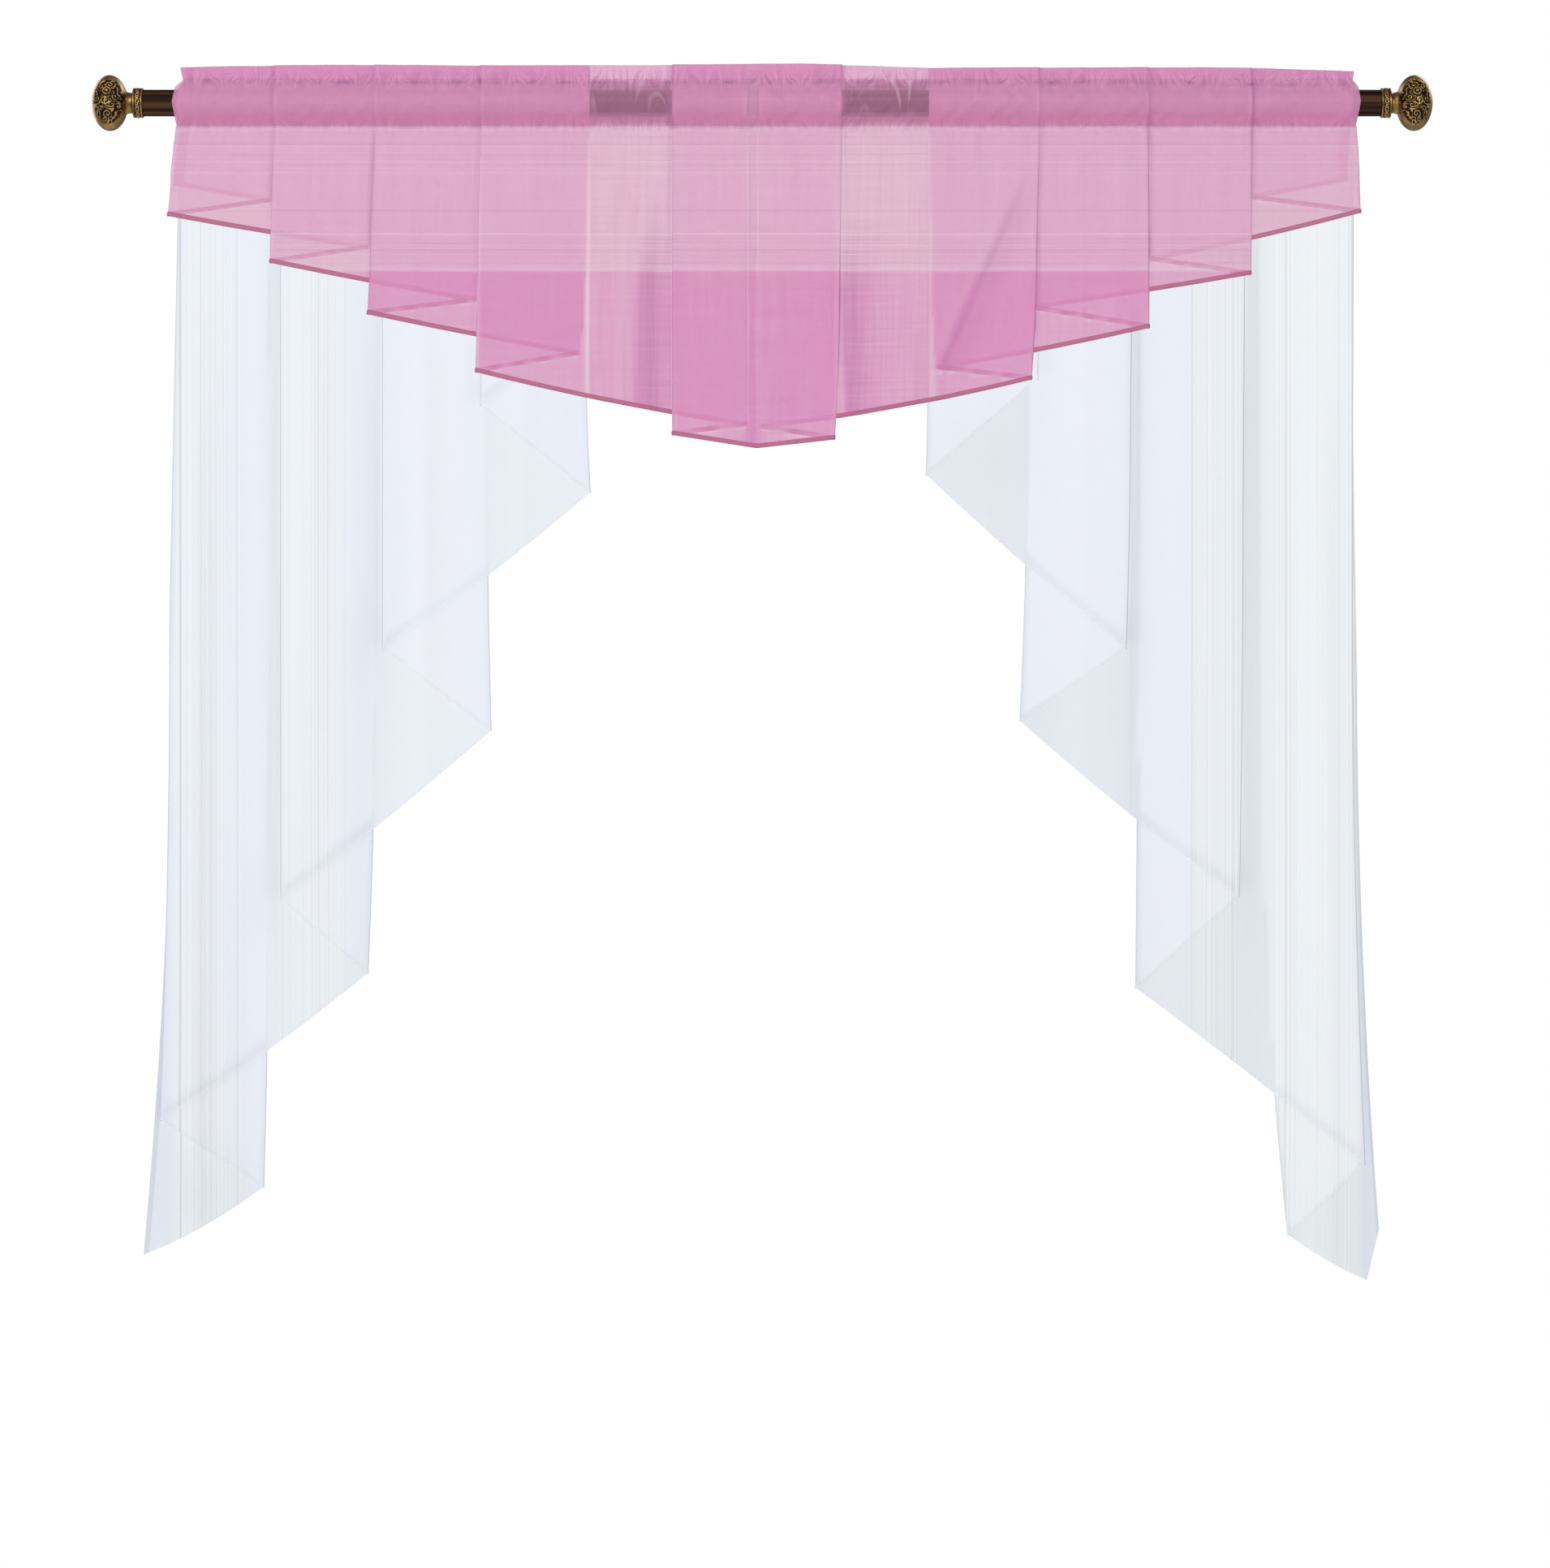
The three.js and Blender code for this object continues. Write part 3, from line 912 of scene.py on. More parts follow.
@dataclass
class Piece:
    """Makes mesh objects that ride on the part's body."""

    @staticmethod
    def add(
        made: bmesh.types.BMesh, name: str, material: bpy.types.Material, slot: str
    ) -> bpy.types.Object:
        """Turn a bmesh into a finished object.

        Args:
            made: The bmesh, in metres, which is freed.
            name: The object's name.
            material: Its finish.
            slot: The record's material slot; not used.

        Returns:
            The object, riding on the part.
        """
        for face in made.faces:
            face.smooth = True
        mesh = bpy.data.meshes.new(name)
        made.to_mesh(mesh)
        made.free()
        mesh.materials.append(material)
        piece = bpy.data.objects.new(name, mesh)
        bpy.context.scene.collection.objects.link(piece)
        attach(piece, BODY)
        log.info("%s: %d faces", name, len(mesh.polygons))
        return piece

    @staticmethod
    def laid_grid(
        points: np.ndarray, uv: np.ndarray, marks: dict[str, np.ndarray] | None = None
    ) -> bmesh.types.BMesh:
        """A grid whose points are laid on given places.

        Args:
            points: Places by column and row, in millimetres.
            uv: Cloth coordinates by column and row, in metres.
            marks: Values that the points store, by name, each by column and row.

        Returns:
            The bmesh, in metres.
        """
        columns, rows = (count - 1 for count in points.shape[:2])
        made = bmesh.new()
        bmesh.ops.create_grid(made, x_segments=columns, y_segments=rows, size=1.0)
        layer = made.loops.layers.uv.new("cloth")
        stores = [(made.verts.layers.float.new(name), values) for name, values in (marks or {}).items()]
        spots = {}
        for vert in made.verts:
            spot = (round((vert.co.x + 1.0) / 2.0 * columns), round((vert.co.y + 1.0) / 2.0 * rows))
            spots[vert] = spot
            vert.co = Vector(points[spot]) * MM
            for store, values in stores:
                vert[store] = values[spot]
        for face in made.faces:
            for loop in face.loops:
                loop[layer].uv = uv[spots[loop.vert]]
        return made


@dataclass(frozen=True)
class EdgeShade:
    """A line of shade along the front folds, or of light: its half width, how far out it lies, its tone."""

    width: float
    out: float
    tone: float


@dataclass
class PleatedCloth(Piece):
    """A cloth folded into flat pleats, held along its top by the seam."""

    name: str
    folds: tuple[Fold, ...]
    node: str
    slot: str
    finish: SheerFinish
    hem_finish: ThreadFinish
    creases: tuple[Crease, ...]
    levels: int = 34
    level_power: float = 1.3
    pitch: float = 2.7
    turn_steps: int = 6
    hem_height: float = 2.2
    hem_thickness: float = 0.75
    hem_sides: int = 8
    lone_soft_across: float = 2.5
    lone_soft_up: float = 9.0
    lone_below: float = 0.5
    lone_from: float = 1.1
    lone_span: float = 0.6
    tip_soft: float = 12.0
    edge_shades: tuple[EdgeShade, ...] = ()
    shades: tuple[Crease | Spot, ...] = ()
    hang: Hang = field(default_factory=Hang)
    ripple: Unevenness = field(default_factory=lambda: Unevenness(5))

    def turn_strip(self, fold: Fold, down: np.ndarray, angle: float) -> np.ndarray:
        """Points down one line of a fold.

        Args:
            fold: The fold or edge.
            down: Shares of its drop.
            angle: Place round its half circle.

        Returns:
            One point for each share.
        """
        z = lerp(self.hang.seam_top, -fold.drop, down)
        x = self.place_across(fold, z)
        y = -2.0 * self.hang.gap(z) if fold.layer is FRONT else np.zeros_like(z)
        bend = self.hang.bend(z) if fold.turn is Turn.ROUND else np.zeros_like(z)
        x = x - fold.tip * bend * (1.0 - math.cos(angle))
        y = y + fold.half.value * bend * math.sin(angle)
        return np.stack([x, y, z], axis=-1)

    def run_strip(self, before: Fold, after: Fold, down: np.ndarray, along: float) -> np.ndarray:
        """Points down one line of the cloth between two folds.

        Args:
            before: The fold on the way in.
            after: The next fold.
            down: Shares of their drop.
            along: Share of the way from one to the other.

        Returns:
            One point for each share of the drop.
        """
        start = self.turn_strip(before, down, -math.pi / 2)
        end = self.turn_strip(after, down, math.pi / 2)
        strip = lerp(start, end, along)
        strip[:, 2] -= 4.0 * before.sag * along * (1.0 - along) * down
        return strip

    def strips(self) -> np.ndarray:
        """Lay the hanging cloth along its folds.

        Returns:
            Its points by column, from its left edge, and row, from its hem up.
        """
        down = np.linspace(1.0, 0.0, self.levels + 1) ** self.level_power
        found = []
        for fold, after in zip(self.folds, self.folds[1:] + (None,)):
            round_fold = fold.turn is Turn.ROUND
            if round_fold:
                for angle in np.linspace(math.pi / 2, -math.pi / 2, self.turn_steps + 1):
                    found.append(self.turn_strip(fold, down, angle))
            if after is None:
                if not round_fold:
                    found.append(self.turn_strip(fold, down, 0.0))
                continue
            steps = max(2, round(abs(after.top - fold.top) / self.pitch))
            for step in range(1 if round_fold else 0, steps):
                found.append(self.run_strip(fold, after, down, step / steps))
        return np.stack(found)

    def depth(self, x: np.ndarray, z: np.ndarray) -> np.ndarray:
        """How far back the whole cloth lies at each point."""
        lift = sum(crease.at(x, z) for crease in self.creases)
        return self.hang.sway(x, z) - lift

    def points(self) -> np.ndarray:
        """All the cloth's points by column and row."""
        laid = self.strips()
        laid[..., 1] += self.depth(laid[..., 0], laid[..., 2])
        return laid

    def place_across(self, fold: Fold, z: np.ndarray) -> np.ndarray:
        """Where a fold lies across the curtain.

        Args:
            fold: The fold.
            z: Heights.

        Returns:
            Its place at each height, and below its hem its place there.
        """
        down = np.clip((self.hang.seam_top - z) / (self.hang.seam_top + fold.drop), 0.0, 1.0)
        upper = np.minimum(1.0, 2.0 * down)
        lower = np.maximum(0.0, 2.0 * down - 1.0)
        return fold.top + (fold.mid - fold.top) * upper + (fold.foot - fold.mid) * lower**2

    def run_hem(
        self, before: Fold, after: Fold, x: np.ndarray, z: np.ndarray
    ) -> tuple[np.ndarray, np.ndarray]:
        """Set places against a run between two folds.

        Args:
            before: The fold at the run's start.
            after: The fold at its end.
            x: Places across.
            z: Heights.

        Returns:
            How far inside the run each place lies, and the height of the run's hem there.
        """
        start, end = self.place_across(before, z), self.place_across(after, z)
        along = (x - start) / (end - start)
        held = np.clip(along, 0.0, 1.0)
        hem = lerp(-before.drop, -after.drop, held) - 4.0 * before.sag * held * (1.0 - held)
        return np.minimum(along, 1.0 - along) * np.abs(end - start), hem

    def layers(self, x: np.ndarray, z: np.ndarray) -> np.ndarray:
        """How many layers of the cloth lie at each place, not whole near a layer's ends.

        Args:
            x: Places across.
            z: Heights.

        Returns:
            The count.
        """
        count = np.zeros_like(x)
        for before, after in zip(self.folds, self.folds[1:]):
            inside, hem = self.run_hem(before, after, x, z)
            above = smoothstep((z - hem) / self.lone_soft_up + self.lone_below)
            count += smoothstep(inside / self.lone_soft_across) * above
        return count

    def front_edges(
        self, x: np.ndarray, z: np.ndarray, reach: float, out: float = 0.0, past: float = 0.0
    ) -> np.ndarray:
        """How close each place is to the edge of a front fold, or to a line some way out from it.

        Args:
            x: Places across.
            z: Heights.
            reach: How far off the closeness fades.
            out: How far out from the edge the line lies.
            past: How far below the fold's own tip the line still counts.

        Returns:
            The closeness, from 0 to 1.
        """
        found = np.zeros_like(x)
        for edge in self.folds:
            if edge.layer is FRONT and edge.turn is Turn.ROUND:
                line = self.place_across(edge, z) + edge.tip * out
                found += bell((x - line) / reach) * smoothstep((z + edge.drop + past) / self.tip_soft)
        return found

    def edge_shade(self, x: np.ndarray, z: np.ndarray) -> np.ndarray:
        """Shade along the edges of the front folds."""
        return sum(line.tone * self.front_edges(x, z, line.width, line.out) for line in self.edge_shades)

    def marks(self, points: np.ndarray) -> dict[str, np.ndarray]:
        """What the points store for the finish.

        Args:
            points: The cloth's points by column and row.

        Returns:
            How far a single layer hangs alone, and shade above 0 or light below.
        """
        x, z = points[..., 0], points[..., 2]
        count = self.layers(x, z)
        shade = sum((band.at(x, z) for band in self.shades), np.zeros_like(x))
        return {"lone": 1.0 - smoothstep((count - self.lone_from) / self.lone_span), "shade": shade}

    def flat_places(self, points: np.ndarray) -> np.ndarray:
        """Where each point lay before the cloth was pleated.

        Args:
            points: The cloth's points by column and row.

        Returns:
            Their places across and up from the seam, in metres.
        """
        middle = points.shape[1] // 2
        across = np.linalg.norm(np.diff(points[:, middle], axis=0), axis=-1)
        up = np.linalg.norm(np.diff(points, axis=1), axis=-1)
        flat = np.zeros(points.shape[:2] + (2,))
        flat[1:, :, 0] = np.cumsum(across)[:, None]
        flat[:, 1:, 1] = np.cumsum(up, axis=1)
        flat[..., 1] -= flat[:, self.levels, 1][:, None]
        return flat * MM

    def hem_tube(self, points: np.ndarray, flat: np.ndarray) -> bmesh.types.BMesh:
        """A flattened roll along the lowest row.

        Args:
            points: The cloth's points by column and row.
            flat: Their flat places.

        Returns:
            The roll as a closed tube.
        """
        edge = points[:, 0]
        inward = points[:, 1] - edge
        inward /= np.linalg.norm(inward, axis=-1, keepdims=True)
        run = np.gradient(edge, axis=0)
        out = np.cross(run, inward)
        out /= np.linalg.norm(out, axis=-1, keepdims=True)
        turns = np.linspace(0.0, math.tau, self.hem_sides + 1)
        ring = [
            edge + inward * self.hem_height * (1.0 + math.cos(a)) + out * self.hem_thickness * math.sin(a)
            for a in turns
        ]
        around = turns * self.hem_height * MM
        uv = np.stack(np.broadcast_arrays(flat[:, :1, 0], around[None, :]), axis=-1)
        made = self.laid_grid(np.stack(ring, axis=1), uv)
        bmesh.ops.remove_doubles(made, verts=made.verts, dist=0.01 * MM)
        open_edges = [e for e in made.edges if e.is_boundary]
        bmesh.ops.holes_fill(made, edges=open_edges, sides=0)
        bmesh.ops.recalc_face_normals(made, faces=made.faces)
        return made

    def build(self, rests_on: list[str], held: str) -> bpy.types.Object:
        """Args:
            rests_on: What the cloth hangs from; not used.
            held: How it is held; not used.

        Returns:
            The cloth's object.
        """
        points = self.points()
        flat = self.flat_places(points)
        width = float(flat[-1, 0, 0])
        sheet = self.laid_grid(points, flat, self.marks(points))
        cloth = self.add(sheet, self.name, self.finish.make(width), self.slot)
        hem = self.add(self.hem_tube(points, flat), f"{self.name}_hem", self.hem_finish.make(), self.slot)
        extras = [hem, *self.trim(points)]
        # Light that is caught between the thin layers would draw bright lines along the hems.
        # The cloths cast no shadow either; the soft shade that they would cast is painted on through their
        # marks.
        for piece in (cloth, *extras):
            piece.visible_shadow = False
            piece.visible_diffuse = False
        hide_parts(self.node)
        return cloth

    def trim(self, points: np.ndarray) -> list[bpy.types.Object]:
        """Pieces sewn on the cloth besides its hem: none on a plain cloth."""
        return []


@dataclass
class Fall(PleatedCloth):
    """A side fall, which hangs just behind the valance."""

    sheet: float = 1.0
    clear_top: float = 0.7
    clear_below: float = 2.4
    drift: float = 1.4
    drift_reach: float = 300.0
    drift_across: float = 46.0
    drift_up: float = 420.0
    corner_shade: float = 0.1
    corner_reach: float = 30.0
    edge_shades: tuple[EdgeShade, ...] = (EdgeShade(0.9, 0.0, 0.22), EdgeShade(9.0, 7.0, 0.15))
    hem_shade: float = 0.28
    hem_shade_up: float = 6.0
    hem_soft: float = 4.0
    hem_over: float = 12.0

    def depth(self, x: np.ndarray, z: np.ndarray) -> np.ndarray:
        """How far back the whole cloth lies, clear of the valance.

        Args:
            x: Places across.
            z: Heights.

        Returns:
            The depth at each point.
        """
        bend = self.hang.bend(z)
        valance_back = bend + self.sheet / 2
        room = lerp(self.clear_top, self.clear_below, self.hang.opened(z))
        own_front = 2.0 * self.hang.gap(z) + bend + self.sheet / 2
        free = smoothstep((self.hang.seam_top - z) / self.drift_reach)
        uneven = self.drift * free * self.ripple.at(x / self.drift_across, z / self.drift_up)
        return valance_back + room + own_front + super().depth(x, z) + uneven

    def marks(self, points: np.ndarray) -> dict[str, np.ndarray]:
        """What the points store: also the shade beside the front folds and over the hems that they hide.

        Args:
            points: The cloth's points by column and row.

        Returns:
            The marks of a plain cloth, with that shade.
        """
        found = super().marks(points)
        x, z = points[..., 0], points[..., 2]
        shade = self.corner_shade * found["lone"] * self.front_edges(x, z, self.corner_reach, 0.0, math.inf)
        found["shade"] += shade + self.edge_shade(x, z) + self.hem_shade * self.hem_shadows(x, z)
        return found

    def hem_shadows(self, x: np.ndarray, z: np.ndarray) -> np.ndarray:
        """Find the hems of the front runs that hang over more of the cloth.

        Args:
            x: Places across.
            z: Heights.

        Returns:
            How close each place is to such a hem, from 0 to 1.
        """
        found = np.zeros_like(x)
        for before, after in zip(self.folds, self.folds[1:]):
            if (before.layer is FRONT) is not (before.half is LEFT):
                continue
            inside, hem = self.run_hem(before, after, x, z)
            over = np.minimum(1.0, self.layers(x, hem - self.hem_over)) * smoothstep(inside / self.hem_soft)
            found += over * bell((z - hem - self.hem_shade_up) / self.hem_shade_up)
        return found


@dataclass(frozen=True)
class SectionRow:
    """One row of the pocket's section: its place, its share of the heading's height, which way is out, and
    how far the puckers carry it forwards."""

    y: float
    z: float
    share: float
    out_y: float
    out_z: float
    wave: float


@dataclass(frozen=True)
class EndShift:
    """How far the pocket's two end edges stand out at a height."""

    z: float
    left: float
    right: float


@dataclass(frozen=True)
class Span:
    """A stretch that fades in above its low end and out below its high end."""

    low: float
    high: float
    low_soft: float
    high_soft: float

    def share(self, place: np.ndarray) -> np.ndarray:
        """How far inside the stretch each place is, from 0 to 1."""
        above = smoothstep((place - self.low) / self.low_soft)
        return above * smoothstep((self.high - place) / self.high_soft)


@dataclass(frozen=True)
class Wrinkle:
    """A kind of small wrinkle: its pitch, lean and height, where its noise starts, and how far it lifts the
    cloth where that is taut and where it is slack."""

    pitch: float
    lean: float
    tall: float
    start: float
    taut: float
    slack: float

    def at(self, noise: Unevenness, x: np.ndarray, z: np.ndarray, slack: np.ndarray) -> np.ndarray:
        """How far the wrinkles lift the cloth.

        Args:
            noise: The noise that they follow.
            x: Places across.
            z: Heights.
            slack: How slack the cloth is there, from 0 to 1.

        Returns:
            The lift at each point.
        """
        rise = noise.at((x + self.lean * z) / self.pitch, self.start + z / self.tall)
        return rise * lerp(self.taut, self.slack, slack)


@dataclass
class Valance(PleatedCloth):
    """The pleated valance with its rod pocket and heading, in one length of cloth turned over at the top."""

    pocket_seam: float = 21.3
    pocket_bulge: float = 13.3
    pocket_roundness: float = 1.7
    half_thickness: float = 0.6
    tail: float = 4.0
    pocket_rows: int = 19
    wrinkle_floor: float = 0.7
    windows: tuple[Span, ...] = (Span(-163.0, -84.0, 3.0, 3.0), Span(75.0, 157.0, 3.0, 3.0))
    edge_shades: tuple[EdgeShade, ...] = (EdgeShade(2.0, 2.0, 0.2), EdgeShade(1.6, -2.2, -0.08))
    crisp_width: float = 0.9
    crisp_shade: float = 0.36
    crisp_uneven: float = 0.2
    crisp_left: float = 0.7
    crisp_right: float = 1.3
    seam_line: float = 19.6
    seam_fall: float = 3.0
    seam_waver: float = 0.9
    seam_shade: float = 0.26
    seam_breaks: float = 1.6
    seam_width: float = 1.6
    over_rod: Span = Span(3.0, 22.3, 7.0, 10.0)
    below_rod: Span = Span(-23.0, -10.0, 3.0, 2.5)
    low_pocket_shade: float = 0.6
    low_veil: float = 0.9
    veil_cover: float = 2.3
    tip_light: float = 0.3
    closed_at: float = -8.5
    closed_reach: float = 9.0
    closed_cover: float = 1.7
    closed_hanging: float = 0.6
    pleat_lift: float = 2.4
    stitch_reach: float = 6.0
    heading_soft: float = 4.0
    pocket_soft: float = 7.0
    right_slack: float = 0.6
    wrinkles: tuple[Wrinkle, ...] = (
        Wrinkle(6.6, 0.0, math.inf, 3.0, 1.5, 2.2),
        Wrinkle(6.6, 0.0, math.inf, 3.0, 0.8, 0.8),
        Wrinkle(12.0, 0.0, 60.0, 9.0, 1.0, 1.6),
        Wrinkle(8.0, 0.9, 55.0, 0.0, 0.5, 1.3),
        Wrinkle(9.0, -0.9, 50.0, 5.0, 0.5, 1.3),
    )
    skirt_ripple: Wrinkle = Wrinkle(9.0, 0.0, 70.0, 0.0, 1.0, 1.8)
    skirt_start: float = 6.0
    skirt_reach: float = 45.0
    heading_top: tuple[tuple[float, float], ...] = (
        (-551, 32.7),
        (-500, 34.2),
        (-400, 35.7),
        (-250, 35.0),
        (-80, 35.7),
        (34, 36.8),
        (90, 35.3),
        (155, 32.8),
        (400, 33.3),
        (470, 32.5),
        (559, 28.9),
    )
    end_shifts: tuple[EndShift, ...] = (
        EndShift(-21.3, 1.0, -1.0),
        EndShift(0.0, -2.0, 2.0),
        EndShift(14.0, 0.5, 0.5),
        EndShift(21.3, 7.0, -4.0),
        EndShift(35.0, 4.0, -2.0),
    )
    end_reach: float = 16.0
    stitch_pitch: float = 3.2
    stitch_length: float = 2.2
    stitch_radius: float = 0.22
    stitch_margin: float = 3.0

    def section(self) -> list[SectionRow]:
        """The pocket's and heading's way over the rod.

        Returns:
            Its rows, from the front of the lower seam to its back.
        """
        seam, half = self.pocket_seam, self.half_thickness
        rise = np.linspace(-1.0, 1.0, self.pocket_rows)
        bulge = half + self.pocket_bulge * (1.0 - np.abs(rise) ** self.pocket_roundness)
        rows = [SectionRow(-b, seam * r, 0.0, -1.0, 0.0, 1.0) for r, b in zip(rise, bulge)]
        rows += [SectionRow(-half, seam, share, -1.0, 0.0, 1.0) for share in np.linspace(0.14, 0.92, 7)]
        for angle in np.linspace(0.0, math.pi, 5):
            back, up = -math.cos(angle), math.sin(angle)
            rows.append(SectionRow(half * back, seam, 0.97, back, up, 1.0))
        rows += [SectionRow(half, seam, share, 1.0, 0.0, 1.0) for share in (0.8, 0.3)]
        for r, b in zip(rise[::3], bulge[::3]):
            rows.append(SectionRow(b, -seam * r, 0.0, 1.0, 0.0, -0.4 * float(smoothstep((1.0 + r) * 2.0))))
        rows.append(SectionRow(half, -seam - self.tail, 0.0, 1.0, 0.0, 0.0))
        return rows

    def window_share(self, x: np.ndarray) -> np.ndarray:
        """How far a single layer covers the rod, beside the middle pleat."""
        return sum(window.share(x) for window in self.windows)

    @staticmethod
    def right_half(x: np.ndarray) -> np.ndarray:
        """Soft step from the left half, where the cloth is taut, to the slacker right half."""
        return smoothstep((x + 40.0) / 80.0)

    def pleat_lines(self, x: np.ndarray, z: np.ndarray) -> np.ndarray:
        """Shade along the pleats' pressed edges, uneven and crisper on the right.

        Args:
            x: Places across.
            z: Heights.

        Returns:
            The shade at each point.
        """
        uneven = self.crisp_shade + self.crisp_uneven * self.ripple.at(x / 60.0, z / 26.0)
        side = lerp(self.crisp_left, self.crisp_right, smoothstep((x + 150.0) / 300.0))
        return uneven * side * self.front_edges(x, z, self.crisp_width) + self.edge_shade(x, z)

    def seam_lines(self, x: np.ndarray, z: np.ndarray) -> np.ndarray:
        """Broken line of shade along the pocket's upper seam, which falls towards the right end.

        Args:
            x: Places across.
            z: Heights.

        Returns:
            The shade at each point.
        """
        line = self.seam_line - self.seam_fall * smoothstep((x - 300.0) / 220.0)
        line = line + self.seam_waver * self.ripple.at(x / 14.0, 2.0)
        broken = np.maximum(0.0, 1.0 + self.seam_breaks * self.ripple.at(x / 8.0, 7.0))
        return self.seam_shade * broken * bell((z - line) / self.seam_width)

    def marks(self, points: np.ndarray) -> dict[str, np.ndarray]:
        """What the points store: also the slack of the pocket, whose upper part is in shade in a window.

        Args:
            points: The cloth's points by column and row.

        Returns:
            How far a single layer hangs alone, the painted shade and light, the slack, and the painted shade
            beside the rod.
        """
        found = super().marks(points)
        x, y, z = (points[..., i] for i in range(3))
        window = self.window_share(x)
        hanging = smoothstep((self.hang.seam_top - z) / 2.0)
        slack = window * (1.0 - hanging) * (z < self.pocket_seam + 0.1)
        closed = bell((x - self.closed_at) / self.closed_reach)
        tips = found["lone"] * (1.0 - window) * (1.0 - closed)
        shade = (found["shade"] - self.tip_light * tips) * hanging
        shade += self.pleat_lines(x, z) + self.seam_lines(x, z)
        # Painted shade where the pocket is slack in a window: over the rod's upper part up towards the
        # stitch, and weaker under the rod.
        below = self.below_rod.share(z)
        thinned = 1.0 - self.low_pocket_shade * smoothstep((-12.0 - z) / 8.0)
        pocket_shade = slack * (y < 0.0) * (self.over_rod.share(z) + below * thinned)
        # Over the rod's top this lets less of the dark rod through, painted light on the rod; above it, it
        # deepens the painted shade.
        # Painted light and shade: in a window the front cloth is made denser from the rod's upper half up to
        # the stitch, and under the rod.
        veil = slack * (y < 0.0) * (smoothstep((z - 4.0) / 9.0) + self.low_veil * below)
        held = lerp(self.closed_cover, self.closed_hanging * found["lone"], hanging)
        lone = found["lone"] * hanging + closed * held + self.veil_cover * veil
        return {"lone": lone, "shade": shade, "slack": slack, "pocket_shade": pocket_shade}

    def puckers(self, x: np.ndarray, z: np.ndarray) -> np.ndarray:
        """Lift of the gathers along the stitches, and of the wrinkles in the pocket and heading.

        Args:
            x: Places across.
            z: Heights.

        Returns:
            How far forwards each point is lifted.
        """
        seam = self.pocket_seam
        slack = np.clip(self.window_share(x) + self.right_slack * self.right_half(x), 0.0, 1.0)
        upper, lower = (np.exp(-np.abs(z - height) / self.stitch_reach) for height in (seam, -seam))
        heading = smoothstep((z - seam) / self.heading_soft)
        inside = smoothstep((seam - np.abs(z)) / self.pocket_soft)
        shares = (upper, lower, heading, inside, inside)
        lifts = (row.at(self.ripple, x, z, slack) for row in self.wrinkles)
        return np.maximum(sum(share * lift for share, lift in zip(shares, lifts)), -self.wrinkle_floor)

    def points(self) -> np.ndarray:
        """All the cloth's points: the skirt up to the seam, then over the rod and down.

        Returns:
            The points by column and row.
        """
        skirt = super().points()
        x, z = skirt[..., 0], skirt[..., 2]
        below = self.hang.seam_top - z
        ease = np.exp(-below / self.skirt_reach) * smoothstep(below / self.skirt_start)
        skirt[..., 1] -= ease * self.skirt_ripple.at(self.ripple, x, z, self.right_half(x))
        top = skirt[:, -1]
        out = -top[:, 1]
        heads = np.interp(top[:, 0], *zip(*self.heading_top))
        rows = []
        for row in self.section():
            height = row.z + row.share * (heads - self.pocket_seam)
            lift = row.wave * self.puckers(top[:, 0], height)
            y = row.y + row.out_y * out * self.pleat_lift - lift
            rows.append(np.stack([top[:, 0], y, height + row.out_z * out], axis=-1))
        upper = np.stack(rows, axis=1)
        self.shape_ends(upper)
        return np.concatenate([skirt, upper], axis=1)

    def shape_ends(self, upper: np.ndarray) -> None:
        """Round the pocket's ends and draw them in at the stitches.

        Args:
            upper: Points of the pocket and heading, changed in place.
        """
        x, z = upper[..., 0], upper[..., 2]
        heights = [row.z for row in self.end_shifts]
        ends = ((float(x.min()), [row.left for row in self.end_shifts]),)
        ends += ((float(x.max()), [row.right for row in self.end_shifts]),)
        shift = np.zeros_like(x)
        for place, stand in ends:
            shift += bell((x - place) / self.end_reach) * np.interp(z, heights, stand)
        upper[..., 0] = x + shift

    def trim(self, points: np.ndarray) -> list[bpy.types.Object]:
        """The two rows of stitches that close the pocket.

        Args:
            points: The cloth's points by column and row.

        Returns:
            The stitches, as one object.
        """
        first = self.levels + 1
        made = bmesh.new()
        for row in (first, first + self.pocket_rows - 1):
            line = points[:, row]
            start, end = line[:, 0].min() + self.stitch_margin, line[:, 0].max() - self.stitch_margin
            for x in np.arange(start, end, self.stitch_pitch):
                near = line[np.abs(line[:, 0] - x) < self.pitch]
                front = near[np.argmin(near[:, 1])]
                place = Vector((x, front[1] - self.stitch_radius * 0.5, front[2])) * MM
                size = Vector((self.stitch_length / 2, self.stitch_radius, self.stitch_radius)) * MM
                matrix = Matrix.Translation(place) @ Matrix.Diagonal((*size, 1.0))
                bmesh.ops.create_icosphere(made, subdivisions=1, radius=1.0, matrix=matrix)
        made.loops.layers.uv.new("cloth")
        return [self.add(made, "valance_stitches", self.hem_finish.make(), self.slot)]


